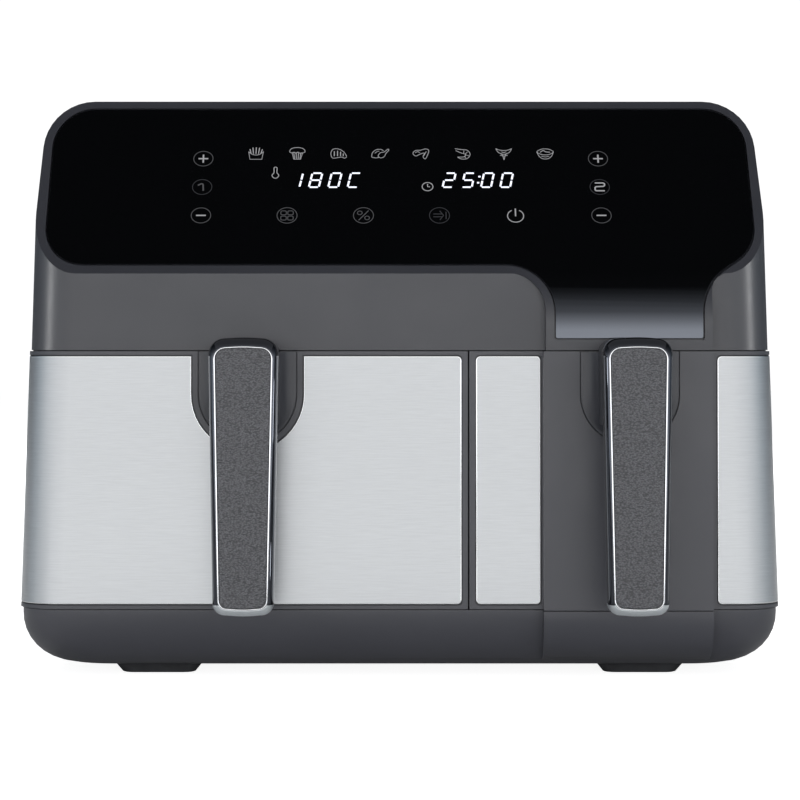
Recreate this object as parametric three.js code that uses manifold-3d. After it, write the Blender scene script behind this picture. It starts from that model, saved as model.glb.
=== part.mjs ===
// A countertop air fryer with two drawers of different widths, modelled as the assembly it is:
// base tray, outer shell, rear cover and control panel; two heated cavities with their heaters,
// fans and motors; and two pull-out drawers, each with a basket, a crisper plate and a handle.
// Millimetres. +Z is up, the drawers face -Y, and the origin is on the resting surface, at the
// centre of the overall footprint.
import * as THREE from "three";
import { mergeVertices } from "three/addons/utils/BufferGeometryUtils.js";
import Module from "manifold-3d";

const wasm = await Module();
wasm.setup();

// ---------------------------------------------------------------- driving dimensions
const GAP = 0.4; // clearance between neighbouring pieces
const WALL = 3; // moulded wall

const TOP = 317.6; // overall height
const REAR = 200; // back face
const FRONT = -132; // front face, where it meets the sloping fascia
const CREASE_Z = 218.8; // height of that meeting line
const SLOPE = 0.7536; // fascia: run back per unit of rise, a tilt of 37 degrees
const LEAN = 0.022; // the front face comes forward by this much per unit down

const BASE_Z = 5.5; // underside of the base tray
const BASE_TOP = 37.4; // joint between base tray and drawers
const DRAWER_TOP = 177; // joint between drawers and outer shell
const SEAM_Y = -102; // rear edge of the drawer fronts
const SPLIT_X = 36.9; // joint between the two drawers

const WAIST = 198.3; // half width near the top
const FLARE = 7.7; // extra half width near the base
const PLAN_R = 25; // vertical corner radius
const BOTTOM_R = 30; // lower edge radius
const TOP_R = 27; // upper edge radius
const PROUD = 0.8; // drawer fronts stand proud of the shell by this much

const NOSE_X = [78.2, 167.8]; // raised band that runs down from the control panel
const NOSE_R = 52; // radius of the panel's bend into the vertical
const NOSE_TOP = 219.5; // where the bend starts
const TILT = Math.atan(SLOPE);

const PANEL_THICK = 3;

// Each drawer: handle centre, the basket's outside, the heater's outer radius, fan radius.
const DRAWERS = {
  left: { x: -82.3, basket: [-184, 20], cavity: [-193, 27.5], coil: 84, fan: 54, face: 0.8 },
  right: { x: 123.2, basket: [51, 184], cavity: [43, 193], coil: 64, fan: 38, face: 9 },
};
const BASKET_Z = [44, 160];
const BASKET_Y = [-101.8, 150];
const CAVITY_Y = [-98.9, 158];
const CAVITY_Z = [40.5, 205];
const FAN_Y = 30;

const COLOURS = {
  charcoal: { color: 0x55565a, roughness: 0.5, metalness: 0 },
  dark: { color: 0x26272a, roughness: 0.6, metalness: 0 },
  gloss: { color: 0x050507, roughness: 0.06, metalness: 0 },
  steel: { color: 0xc6c9cc, roughness: 0.3, metalness: 1 },
  chrome: { color: 0xd8dadd, roughness: 0.06, metalness: 1 },
  grain: { color: 0x4a4b4e, roughness: 0.7, metalness: 0 },
  rubber: { color: 0x1c1c1e, roughness: 0.85, metalness: 0 },
  coating: { color: 0x2b2b2d, roughness: 0.45, metalness: 0.2 },
  sheet: { color: 0xa9acaf, roughness: 0.35, metalness: 1 },
  board: { color: 0x1d4a2c, roughness: 0.6, metalness: 0 },
  silicone: { color: 0x3a3a3c, roughness: 0.8, metalness: 0 },
};

// ---------------------------------------------------------------- solids and helpers
// A closed three.js geometry as a manifold-3d solid.
function solid(geometry) {
  const bare = geometry.index ? geometry.toNonIndexed() : geometry.clone();
  bare.deleteAttribute("normal");
  bare.deleteAttribute("uv");
  const merged = mergeVertices(bare, 1e-4);
  return new wasm.Manifold(
    new wasm.Mesh({
      numProp: 3,
      vertProperties: new Float32Array(merged.attributes.position.array),
      triVerts: new Uint32Array(merged.index.array),
    }),
  );
}

// A solid back as a three.js geometry.
function geometryOf(manifold) {
  const mesh = manifold.getMesh();
  const points = new Float32Array(mesh.numVert * 3);
  for (let i = 0; i < mesh.numVert; i++) {
    points.set(mesh.vertProperties.subarray(i * mesh.numProp, i * mesh.numProp + 3), i * 3);
  }
  const geometry = new THREE.BufferGeometry();
  geometry.setAttribute("position", new THREE.BufferAttribute(points, 3));
  geometry.setIndex(new THREE.BufferAttribute(mesh.triVerts, 1));
  return geometry;
}

function box([x0, x1], [y0, y1], [z0, z1]) {
  const made = new THREE.BoxGeometry(x1 - x0, y1 - y0, z1 - z0);
  made.translate((x0 + x1) / 2, (y0 + y1) / 2, (z0 + z1) / 2);
  return solid(made);
}

// An upright cylinder, or a cone frustum.
function post(x, y, [z0, z1], radius, sides = 20, topRadius = radius) {
  const made = new THREE.CylinderGeometry(topRadius, radius, z1 - z0, sides);
  made.rotateX(Math.PI / 2);
  made.translate(x, y, (z0 + z1) / 2);
  return solid(made);
}

// A cylinder along Y.
function rod(x, [y0, y1], z, radius, sides = 20) {
  const made = new THREE.CylinderGeometry(radius, radius, y1 - y0, sides);
  made.translate(x, (y0 + y1) / 2, z);
  return solid(made);
}

// A shape drawn in plan (X, Y), extruded upward.
function prismZ(shape, [z0, z1], curveSegments = 5) {
  const made = new THREE.ExtrudeGeometry(shape, { depth: z1 - z0, bevelEnabled: false, curveSegments });
  made.translate(0, 0, z0);
  return solid(made);
}

// A shape drawn in front view (X, Z), extruded from y0 back to y1.
function prismY(shape, [y0, y1], curveSegments = 5) {
  const made = new THREE.ExtrudeGeometry(shape, { depth: y1 - y0, bevelEnabled: false, curveSegments });
  made.rotateX(Math.PI / 2);
  made.translate(0, y1, 0);
  return solid(made);
}

// A shape drawn in side view (Y, Z), extruded along X.
function prismX(points, [x0, x1]) {
  const shape = new THREE.Shape(points.map(([y, z]) => new THREE.Vector2(y, z)));
  const made = new THREE.ExtrudeGeometry(shape, { depth: x1 - x0, bevelEnabled: false });
  made.applyMatrix4(new THREE.Matrix4().set(0, 0, 1, x0, 1, 0, 0, 0, 0, 1, 0, 0, 0, 0, 0, 1));
  return solid(made);
}

// A closed outline through corner points [x, y, radius], each corner rounded by an arc.
function roundedOutline(corners) {
  const at = (i) => corners[(i + corners.length) % corners.length];
  const shape = new THREE.Shape();
  corners.forEach(([x, y, radius = 0], i) => {
    const here = new THREE.Vector2(x, y);
    const before = new THREE.Vector2(at(i - 1)[0], at(i - 1)[1]).sub(here).normalize();
    const after = new THREE.Vector2(at(i + 1)[0], at(i + 1)[1]).sub(here).normalize();
    const half = Math.acos(THREE.MathUtils.clamp(before.dot(after), -1, 1)) / 2;
    const reach = radius / Math.tan(half);
    const start = here.clone().addScaledVector(before, reach);
    const end = here.clone().addScaledVector(after, reach);
    if (i === 0) shape.moveTo(start.x, start.y);
    else shape.lineTo(start.x, start.y);
    if (radius > 0) {
      const centre = here.clone().addScaledVector(before.clone().add(after).normalize(), radius / Math.sin(half));
      const clockwise = before.cross(after) > 0;
      shape.absarc(
        centre.x,
        centre.y,
        radius,
        Math.atan2(start.y - centre.y, start.x - centre.x),
        Math.atan2(end.y - centre.y, end.x - centre.x),
        clockwise,
      );
    }
  });
  shape.closePath();
  return shape;
}

function rectangle([x0, x1], [y0, y1], radius) {
  return roundedOutline([
    [x0, y0, radius],
    [x1, y0, radius],
    [x1, y1, radius],
    [x0, y1, radius],
  ]);
}

function union(solids) {
  return solids.reduce((whole, next) => whole.add(next));
}

function cutAll(whole, cuts) {
  return cuts.reduce((left, cut) => left.subtract(cut), whole);
}

// ---------------------------------------------------------------- the body's own form
const lerp = THREE.MathUtils.lerp;

// How far an edge of that radius has turned inward at a distance past its start.
function roundInset(distance, radius) {
  const d = THREE.MathUtils.clamp(distance, 0, radius);
  return radius - Math.sqrt(radius * radius - d * d);
}

function edgeInset(z) {
  return roundInset(BASE_Z + BOTTOM_R - z, BOTTOM_R) + roundInset(z - (TOP - TOP_R), TOP_R);
}

function halfWidth(z) {
  const share = Math.max(0, (300 - z) / 261);
  return WAIST + FLARE * share ** 1.15;
}

function frontY(z) {
  return FRONT - LEAN * (CREASE_Z - z);
}

// The body between given heights, grown outward by a margin (inward if it is negative). It is
// a rounded rectangle extruded in steps, with each step's points moved to that height's size.
function bodyBlock(levels, margin = 0, cornerSegments = 5) {
  const half = 200;
  const start = rectangle([-half, half], [-half, half], PLAN_R);
  const made = new THREE.ExtrudeGeometry(start, {
    depth: levels.length - 1,
    steps: levels.length - 1,
    bevelEnabled: false,
    curveSegments: cornerSegments,
  });
  const points = made.attributes.position;
  for (let i = 0; i < points.count; i++) {
    const z = levels[Math.round(points.getZ(i))];
    const inset = edgeInset(z) - margin;
    const x = points.getX(i);
    const y = points.getY(i);
    const side = halfWidth(z) - inset - half;
    const end = y < 0 ? frontY(z) + inset + half : REAR - inset - half;
    points.setXYZ(i, x + Math.sign(x) * side, y + end, z);
  }
  return solid(made);
}

// Points of the fascia in side view, from its top edge down the slope, round the bend and down
// to a height, all moved back by a depth measured square to the surface.
function fasciaLine(bottom, depth, steps = 6) {
  const back = depth * Math.cos(TILT);
  const down = depth * Math.sin(TILT);
  const slopeY = (z) => FRONT + SLOPE * (z - CREASE_Z);
  const line = [[slopeY(TOP + 20) + back, TOP + 20 - down]];
  const centreY = slopeY(NOSE_TOP) + NOSE_R * Math.cos(TILT);
  const centreZ = NOSE_TOP - NOSE_R * Math.sin(TILT);
  for (let i = 0; i <= steps; i++) {
    const turn = lerp(TILT, 0, i / steps);
    line.push([
      centreY - (NOSE_R - depth) * Math.cos(turn),
      centreZ + (NOSE_R - depth) * Math.sin(turn),
    ]);
  }
  line.push([line.at(-1)[0], bottom]);
  return line;
}

// Everything behind the fascia surface, moved back by a depth.
function behindFascia(depth, bottom, x) {
  return prismX([...fasciaLine(bottom, depth), [REAR + 60, bottom], [REAR + 60, TOP + 20]], x);
}

// Everything above the plain slope, moved back by a depth.
function aboveSlope(depth) {
  const shift = depth / Math.cos(TILT);
  const y = (z) => FRONT + SLOPE * (z - CREASE_Z) + shift;
  return prismX(
    [
      [y(CREASE_Z - 60), CREASE_Z - 60],
      [y(TOP + 40), TOP + 40],
      [FRONT - 80, TOP + 40],
      [FRONT - 80, CREASE_Z - 60],
    ],
    [-260, 260],
  );
}

// The control panel's outline in front view, grown by a margin.
function panelOutline(margin = 0) {
  const m = margin;
  return roundedOutline([
    [-192.8 - m, 312.7 + m, 22.5 + m],
    [-192.8 - m, 223.9 - m, 21 + m],
    [83.5 - m, 223.9 - m, 26 - m],
    [83.5 - m, 183.7 - m, 1 + m / 2],
    [162.7 + m, 183.7 - m, 1 + m / 2],
    [162.7 + m, 213.6 - 1.6 * m, 28],
    [193.2 + m, 232.9 - 0.6 * m, 24],
    [193.2 + m, 312.7 + m, 22.5 + m],
  ]);
}

// The raised band's outline in front view, from the drawer joint up to the crease.
function noseOutline() {
  const [x0, x1] = NOSE_X;
  return roundedOutline([
    [x0, DRAWER_TOP + GAP, 0.5],
    [x1, DRAWER_TOP + GAP, 0.5],
    [x1, CREASE_Z, 10],
    [x1 + 12, CREASE_Z + 0.4, 0],
    [x1 + 12, CREASE_Z + 3, 0],
    [x0 - 26, CREASE_Z + 3, 0],
    [x0 - 26, CREASE_Z + 0.4, 0],
    [x0, CREASE_Z, 20],
  ]);
}

// The raised band below the control panel, on the drawer front and the base.
function bandBlock([z0, z1], proud, margin = 0) {
  const [x0, x1] = NOSE_X;
  const face = (z) => frontY(z) - proud;
  return prismX(
    [
      [face(z1), z1],
      [FRONT + 12, z1],
      [FRONT + 12, z0],
      [face(z0), z0],
    ],
    [x0 - 1.2 - margin, x1 + 0.3 + margin],
  );
}

// ---------------------------------------------------------------- housing
const SHELL_LEVELS = [37.8, 110, 177, 219, 260, TOP - TOP_R, 300, 307, 312.5, 316, TOP];
// The raised band on the base: height, and how far it stands out there.
const BAND_BELOW = [
  [BASE_Z + 4, 1],
  [12.5, 4.6],
  [17, 7.4],
  [23, 8.6],
  [31, 8.8],
  [BASE_TOP, 8.8],
];
const BASE_LEVELS = [BASE_Z, 7, 11, 18, 26, 35.5, BASE_TOP];

function outerShell() {
  const nose = prismY(noseOutline(), [FRONT - 40, FRONT + 10], 4).intersect(
    behindFascia(0, DRAWER_TOP + GAP, [-250, 250]),
  );
  const body = bodyBlock(SHELL_LEVELS).subtract(aboveSlope(0)).add(nose);
  const inside = bodyBlock([30, 110, 177, 219, 260, 285, 297, 305, 310, TOP - 3.2], -WALL, 3)
    .subtract(aboveSlope(7))
    .subtract(box([-250, 250], [REAR - 7, 300], [0, 400]));
  const drawerBay = box([-250, 250], [-250, SEAM_Y + GAP], [0, DRAWER_TOP + GAP]);
  const panelPocket = prismY(panelOutline(0.35), [FRONT - 60, REAR], 5).intersect(
    behindFascia(-30, 150, [-250, 250]).subtract(behindFascia(PANEL_THICK + 0.35, 140, [-251, 251])),
  );
  const displayWindow = prismY(rectangle([-90, 92], [246, 292], 3), [FRONT, 20]);
  const coverSeat = box([-172, 172], [REAR - 3.4, 300], [58, 284]);
  const coverWindow = box([-162, 162], [REAR - 12, 300], [68, 274]);
  const screwHoles = SCREWS.map(([x, z]) => rod(x, [REAR - 12, 300], z, 2.2, 10));
  return cutAll(body, [inside, drawerBay, panelPocket, displayWindow, coverSeat, coverWindow, ...screwHoles]);
}

const SCREWS = [
  [-166.5, 64],
  [166.5, 64],
  [-166.5, 278],
  [166.5, 278],
];

function rearCover() {
  const plate = prismY(rectangle([-171.5, 171.5], [58.5, 283.5], 4), [REAR - 3, REAR - 0.6]);
  const cuts = SCREWS.map(([x, z]) => rod(x, [0, 300], z, 2.2, 10));
  for (const { cavity } of Object.values(DRAWERS)) {
    const middle = (cavity[0] + cavity[1]) / 2;
    for (let row = 0; row < 3; row++) {
      const z = 174 + row * 7;
      cuts.push(box([middle - 38, middle + 38], [190, 210], [z, z + 3.2]));
    }
    for (let row = 0; row < 5; row++) {
      const z = 228 + row * 9;
      cuts.push(box([middle - 30, middle + 30], [190, 210], [z, z + 3.6]));
    }
  }
  cuts.push(rod(GLAND[0], [0, 300], GLAND[1], 8.4, 20));
  return cutAll(plate, cuts);
}

const GLAND = [-132, 84]; // cord gland, x and z

// A bushing with a bore for the mains cord, held in the rear cover.
function cordGland() {
  const profile = [
    [4, 0],
    [8, 0],
    [8, 5],
    [11, 5],
    [10, 7],
    [4, 7],
    [4, 0],
  ].map(([r, y]) => new THREE.Vector2(r, y));
  const made = new THREE.LatheGeometry(profile, 20);
  made.translate(GLAND[0], REAR - 5.2, GLAND[1]);
  return solid(made).intersect(box([-200, 0], [0, REAR - 0.1], [0, 200]));
}

function rearScrew([x, z]) {
  return rod(x, [REAR - 0.3, REAR], z, 3.6, 12).add(rod(x, [REAR - 5.8, REAR - 0.2], z, 1.7, 10));
}

function baseTray() {
  const body = bodyBlock(BASE_LEVELS, -0.4);
  const bandPoint = ([z, proud]) => [frontY(z) + edgeInset(z) - proud, z];
  const band = prismX(
    [
      [FRONT + 12, BASE_TOP],
      [FRONT + 12, BASE_Z + 4],
      ...BAND_BELOW.map(bandPoint),
    ],
    [NOSE_X[0] - 1.2, NOSE_X[1] + 0.3],
  );
  const inside = bodyBlock([BASE_Z + WALL, 11, 18, 26, 35.5, 50], -WALL - 0.6, 3);
  const vents = [-1, 1].flatMap((side) =>
    [0, 1, 2, 3, 4].map((i) => {
      const x = side * 100 + (i - 2) * 13;
      return box([x - 2, x + 2], [10, 60], [-10, 20]);
    }),
  );
  return cutAll(body.add(band), [inside, ...vents]);
}

// A rubber foot, narrower below.
function foot(x, y) {
  const made = new THREE.ExtrudeGeometry(rectangle([-24, 24], [-11, 11], 6), {
    depth: 1,
    bevelEnabled: false,
    curveSegments: 4,
  });
  const points = made.attributes.position;
  for (let i = 0; i < points.count; i++) {
    const top = points.getZ(i) > 0.5;
    const shrink = top ? 0 : 3.6;
    const px = points.getX(i);
    const py = points.getY(i);
    points.setXYZ(
      i,
      x + px - Math.sign(px) * shrink,
      y + py - Math.sign(py) * shrink * 0.5,
      top ? BASE_Z - 0.3 : 0,
    );
  }
  return solid(made);
}

function controlPanel() {
  const slab = behindFascia(0, 150, [-250, 250]).subtract(behindFascia(PANEL_THICK, 140, [-251, 251]));
  return prismY(panelOutline(), [FRONT - 60, REAR], 6).intersect(slab);
}

// A plate parallel to the fascia's slope: width, heights along Z and depths behind it.
function slopedPlate([x0, x1], [z0, z1], [near, far]) {
  const point = (z, depth) => [
    FRONT + SLOPE * (z - CREASE_Z) + depth * Math.cos(TILT),
    z - depth * Math.sin(TILT),
  ];
  return prismX([point(z0, near), point(z1, near), point(z1, far), point(z0, far)], [x0, x1]);
}

function controlBoard() {
  return union([
    slopedPlate([-150, 150], [238, 298], [9, 10.6]),
    slopedPlate([-120, -90], [250, 285], [10.4, 16]),
    slopedPlate([60, 74], [250, 262], [10.4, 14]),
  ]);
}

function displayModule() {
  return slopedPlate([-72, 74], [262, 285], [PANEL_THICK + 0.8, 8.6]);
}

function powerBoard() {
  return union([
    box([-52, 52], [104, 176], [228, 229.6]),
    box([-46, -20], [112, 140], [229.4, 250]),
    post(6, 126, [229.4, 252], 9, 14),
    box([22, 46], [110, 150], [229.4, 244]),
    post(-32, 160, [229.4, 242], 6, 12),
  ]);
}

// The bulkhead behind the drawer fronts, with an opening for each basket.
function frontFrame() {
  const plate = prismY(rectangle([-196, 196], [38.5, 204], 6), [SEAM_Y + 0.7, SEAM_Y + 2.7]);
  const openings = Object.values(DRAWERS).map(({ basket: [x0, x1] }) =>
    prismY(rectangle([x0 - 4.4, x1 + 4.4], [42.4, 168], 4), [-200, 0], 3),
  );
  return cutAll(plate, openings);
}

// ---------------------------------------------------------------- hot side of each drawer bay
const SHEET = 1.2;

function cavity({ cavity: [x0, x1], x, basket }) {
  const [y0, y1] = CAVITY_Y;
  const [z0, z1] = CAVITY_Z;
  const middle = (x0 + x1) / 2;
  const rails = [basket[0] + 30, basket[1] - 30].map((at) => box([at - 4, at + 4], [y0, 150], [z0, 43.6]));
  return cutAll(box([x0, x1], [y0, y1], [z0, z1]), [
    box([x0 + SHEET, x1 - SHEET], [-200, y1 - SHEET], [z0 + SHEET, z1 - SHEET]),
    post(middle, FAN_Y, [180, 230], 7, 18),
    box([middle - 40, middle + 40], [140, 170], [173, 193]),
    rod(middle + 52, [140, 170], 180, 2.6, 10),
  ]).add(union(rails));
}

function exhaustDuct({ cavity: [x0, x1] }) {
  const middle = (x0 + x1) / 2;
  return box([middle - 43, middle + 43], [158.3, REAR - 3.4], [170, 196]).subtract(
    box([middle - 41, middle + 41], [100, 260], [172, 194]),
  );
}

// A flat spiral of heating tube hung under the cavity roof by its two upturned ends.
function heater({ cavity: [x0, x1], coil }) {
  const middle = (x0 + x1) / 2;
  const z = 179;
  const turns = 2;
  const steps = 14 * turns;
  const inner = coil - 20;
  const points = [new THREE.Vector3(middle + inner, FAN_Y, 202), new THREE.Vector3(middle + inner, FAN_Y, 188)];
  for (let i = 1; i <= steps; i++) {
    const angle = (i / steps) * turns * 2 * Math.PI;
    const radius = lerp(inner, coil, i / steps);
    points.push(new THREE.Vector3(middle + radius * Math.cos(angle), FAN_Y + radius * Math.sin(angle), z));
  }
  points.push(new THREE.Vector3(middle + coil + 1, FAN_Y + 12, 188));
  points.push(new THREE.Vector3(middle + coil + 1, FAN_Y + 13, 202));
  const section = new THREE.Shape();
  for (let i = 0; i < 6; i++) {
    const angle = (i / 6) * 2 * Math.PI;
    const at = [3.1 * Math.cos(angle), 3.1 * Math.sin(angle)];
    if (i === 0) section.moveTo(...at);
    else section.lineTo(...at);
  }
  section.closePath();
  return solid(
    new THREE.ExtrudeGeometry(section, {
      steps: 56,
      bevelEnabled: false,
      extrudePath: new THREE.CatmullRomCurve3(points, false, "centripetal"),
    }),
  );
}

// A fan: a hub, a disc and upright blades round it.
function fan(x, radius, disc, blade, bladeCount) {
  const blades = [];
  for (let i = 0; i < bladeCount; i++) {
    const angle = (i / bladeCount) * 2 * Math.PI;
    const made = new THREE.BoxGeometry(radius * 0.5, 1.4, blade[1] - blade[0]);
    made.rotateZ(0.5);
    made.translate(radius * 0.68, 0, (blade[0] + blade[1]) / 2);
    made.rotateZ(angle);
    made.translate(x, FAN_Y, 0);
    blades.push(solid(made));
  }
  const hubZ = [Math.min(disc[0], blade[0]), Math.max(disc[1], blade[1])];
  return union([post(x, FAN_Y, disc, radius, 28), post(x, FAN_Y, hubZ, 8, 14), ...blades]).subtract(
    post(x, FAN_Y, [100, 320], 3.3, 12),
  );
}

function motorBracket({ cavity: [x0, x1] }) {
  const middle = (x0 + x1) / 2;
  return union([
    box([middle - 42, middle + 42], [FAN_Y - 26, FAN_Y + 26], [220, 222]),
    box([middle - 42, middle - 40], [FAN_Y - 26, FAN_Y + 26], [207, 221]),
    box([middle + 40, middle + 42], [FAN_Y - 26, FAN_Y + 26], [207, 221]),
    box([middle - 50, middle - 40], [FAN_Y - 26, FAN_Y + 26], [205.4, 207.4]),
    box([middle + 40, middle + 50], [FAN_Y - 26, FAN_Y + 26], [205.4, 207.4]),
  ]).subtract(post(middle, FAN_Y, [200, 240], 12, 16));
}

function motor({ cavity: [x0, x1] }) {
  const middle = (x0 + x1) / 2;
  return union([
    box([middle - 32, middle + 32], [FAN_Y - 20, FAN_Y + 20], [228, 248]),
    post(middle, FAN_Y, [222.4, 254], 15, 18),
    box([middle - 30, middle + 30], [FAN_Y + 19, FAN_Y + 32], [224, 252]),
  ]).subtract(post(middle, FAN_Y, [200, 270], 3.4, 12));
}

// ---------------------------------------------------------------- drawers
const DRAWER_LEVELS = [BASE_TOP + 0.5, 60, 118, DRAWER_TOP - 0.4];

// One drawer front's outside, moved inward by a depth.
function frontBlock(side, depth) {
  const levels = [DRAWER_LEVELS[0] + depth, ...DRAWER_LEVELS.slice(1, -1), DRAWER_LEVELS.at(-1) - depth];
  const block = bodyBlock(levels, PROUD - depth, 6);
  const joint = depth + GAP;
  const range = side === "left" ? [-250, SPLIT_X - joint] : [SPLIT_X + joint, 250];
  const cut = block.intersect(box(range, [-250, SEAM_Y], [0, 250]));
  if (side === "left") return cut;
  return cut.add(bandBlock([levels[0], levels.at(-1)], DRAWERS.right.face - depth, -depth));
}

// The layer of a drawer front between two depths below its surface, inside a front-view outline.
function frontSkin(side, outline, near, far) {
  return frontBlock(side, near)
    .subtract(frontBlock(side, far))
    .intersect(prismY(outline, [-250, SEAM_Y - 5], 6));
}

// The U-shaped field round a handle's root.
function handleField(x, radius, top) {
  const z = 153.5;
  const shape = new THREE.Shape();
  shape.moveTo(x - radius, top);
  shape.lineTo(x - radius, z);
  shape.absarc(x, z, radius, Math.PI, 2 * Math.PI, false);
  shape.lineTo(x + radius, top);
  shape.closePath();
  return shape;
}

const PLATE_Z = [40.4, 174.4];

// Steel plates in front view, grown by a margin; each is [name, outline].
function plateOutlines(side, m = 0) {
  const z = [PLATE_Z[0] - m, PLATE_Z[1] + m];
  if (side === "right") {
    return [
      ["steel_panel_right_inner", rectangle([40.8 - m, 75.9 + m], z, 2)],
      ["steel_panel_right_outer", rectangle([171 - m, 240], z, 2)],
    ];
  }
  return [["steel_panel_left", rectangle([-240, 33.2 + m], z, 2)]];
}

function handleNotch(m = 0) {
  return prismY(handleField(DRAWERS.left.x, 30.1 - m, 200), [-250, -100], 8);
}

function steelPanels(side) {
  return plateOutlines(side).map(([name, outline]) => {
    const plate = frontSkin(side, outline, 0, 1);
    return [name, side === "left" ? plate.subtract(handleNotch()) : plate];
  });
}

// The face a handle is rooted in, at a height.
function faceY(side, z) {
  return frontY(z) - DRAWERS[side].face;
}

function drawerFront(side) {
  const { x } = DRAWERS[side];
  const pockets = plateOutlines(side, 0.4).map(([, outline]) => {
    const pocket = frontSkin(side, outline, -0.5, 1.4);
    return side === "left" ? pocket.subtract(handleNotch(0.4)) : pocket;
  });
  const field = prismY(handleField(x, 26.9, 240), [-250, faceY(side, 150) + 2.4], 6);
  const hollow = frontBlock(side, WALL + 1).add(
    frontBlock(side, WALL + 1)
      .intersect(box([-250, 250], [SEAM_Y - 6, SEAM_Y], [0, 250]))
      .translate([0, 6, 0]),
  );
  return cutAll(frontBlock(side, 0), [...pockets, field, hollow]);
}

function innerCover(side) {
  return frontBlock(side, WALL + 1.4)
    .intersect(box([-250, 250], [SEAM_Y - 2.6, SEAM_Y - 0.4], [0, 250]))
    .intersect(box(side === "left" ? [-250, SPLIT_X] : [SPLIT_X, 250], [-250, 250], [0, 250]));
}

const HANDLE_TOP = 184;
const HANDLE_BOTTOM = 39.6;
const GRIP_Y = -194.4; // the grip's face at its upper end
const GRIP_LEAN = 0.04; // and how far it comes forward per unit down
const GRIP_DEEP = 20;
const SHOULDER_Y = -147; // how far back the neck stands taller than the drawer front

// The grip's outline in front view, tapering downward, inset by a margin.
function gripOutline(x, inset = 0) {
  const top = 18.45 - inset;
  const low = 15.95 - inset;
  return roundedOutline([
    [x - low, HANDLE_BOTTOM + inset, 6 - inset / 2],
    [x + low, HANDLE_BOTTOM + inset, 6 - inset / 2],
    [x + top, HANDLE_TOP - inset, 9 - inset],
    [x - top, HANDLE_TOP - inset, 9 - inset],
  ]);
}

// The slab between two depths behind the grip's leaning face.
function gripSlab(near, far) {
  const face = (z) => GRIP_Y - (178 - z) * GRIP_LEAN;
  return prismX(
    [
      [face(230) + near, 230],
      [face(230) + far, 230],
      [face(0) + far, 0],
      [face(0) + near, 0],
    ],
    [-250, 250],
  );
}

function gripPart(side, inset, near, far) {
  return prismY(gripOutline(DRAWERS[side].x, inset), [-300, FRONT], 5).intersect(gripSlab(near, far));
}

// The plated surround: a shallow tray, open to the front for the grained inlay.
function handleFrame(side) {
  return gripPart(side, 2.2, 0, 4).add(gripPart(side, 0, 3.8, GRIP_DEEP)).subtract(gripPart(side, 3.2, -5, 3));
}

function handleInlay(side) {
  return gripPart(side, 3.6, 0.2, 2.6);
}

// The U-shaped root set into the drawer front, and the neck that carries the grip.
function handleRoot(side) {
  const { x } = DRAWERS[side];
  const deep = faceY(side, 150) + 2;
  const root = prismY(handleField(x, 26.5, DRAWER_TOP - 0.6), [-250, deep], 6).intersect(
    prismX(
      [
        [faceY(side, 178) + 0.1, 178],
        [deep, 178],
        [deep, 100],
        [faceY(side, 100) + 0.1, 100],
      ],
      [-250, 250],
    ),
  );
  const neck = box([x - 15.5, x + 15.5], [-250, faceY(side, 150) + 1], [134, DRAWER_TOP - 0.6]);
  const shoulder = prismY(gripOutline(x, 0.6), [-250, SHOULDER_Y], 5).intersect(
    box([x - 40, x + 40], [-250, SHOULDER_Y], [138, HANDLE_TOP]),
  );
  return root.add(neck.add(shoulder).intersect(gripSlab(GRIP_DEEP + 0.3, 90)));
}

const PAN = 1.3; // basket wall

// A pan with a turned-out rim.
function basket({ basket: [x0, x1] }) {
  const [y0, y1] = BASKET_Y;
  const [z0, z1] = BASKET_Z;
  return prismZ(rectangle([x0, x1], [y0, y1], 18), [z0, z1], 4)
    .add(prismZ(rectangle([x0 - 3, x1 + 3], [y0, y1 + 3], 20), [z1 - 2, z1], 4))
    .subtract(prismZ(rectangle([x0 + PAN, x1 - PAN], [y0 + PAN, y1 - PAN], 18 - PAN), [z0 + PAN, z1 + 5], 4));
}

const CRISPER_Z = [60, 61.6];

// A slotted tray on four legs that lifts out of the basket.
function crisper({ basket: [x0, x1] }) {
  const [y0, y1] = BASKET_Y;
  const plate = prismZ(rectangle([x0 + 6, x1 - 6], [y0 + 6, y1 - 6], 14), CRISPER_Z, 4);
  const legs = [x0 + 26, x1 - 26].flatMap((x) =>
    [y0 + 26, y1 - 26].map((y) => post(x, y, [BASKET_Z[0] + 2, CRISPER_Z[1] - 0.4], 3.4, 10)),
  );
  const slots = [];
  const columns = Math.round((x1 - x0 - 70) / 22);
  for (let i = 0; i < columns; i++) {
    const x = (x0 + x1) / 2 + (i - (columns - 1) / 2) * 22;
    for (let j = 0; j < 4; j++) {
      const y = (y0 + y1) / 2 + (j - 1.5) * 46;
      slots.push(box([x - 3, x + 3], [y - 16, y + 16], [50, 70]));
    }
  }
  return cutAll(union([plate, ...legs]), slots);
}

// A silicone buffer clipped over one edge of the crisper plate.
function buffer({ basket: [x0, x1] }, end) {
  const y = end === "front" ? BASKET_Y[0] + 4.2 : BASKET_Y[1] - 4.2;
  const inward = end === "front" ? 1 : -1;
  const middle = (x0 + x1) / 2;
  const reach = [Math.min(y - 2 * inward, y + 7 * inward), Math.max(y - 2 * inward, y + 7 * inward)];
  return box([middle - 14, middle + 14], reach, [57, 64.6]).subtract(
    box([middle - 20, middle + 20], end === "front" ? [y + 1.4, 400] : [-400, y - 1.4], [59.6, 62]),
  );
}

// ---------------------------------------------------------------- the assembly
const fryer = new THREE.Group();

function addPart(name, manifold, look, group = fryer) {
  const mesh = new THREE.Mesh(geometryOf(manifold), new THREE.MeshStandardMaterial(COLOURS[look]));
  mesh.name = name;
  group.add(mesh);
}

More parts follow.
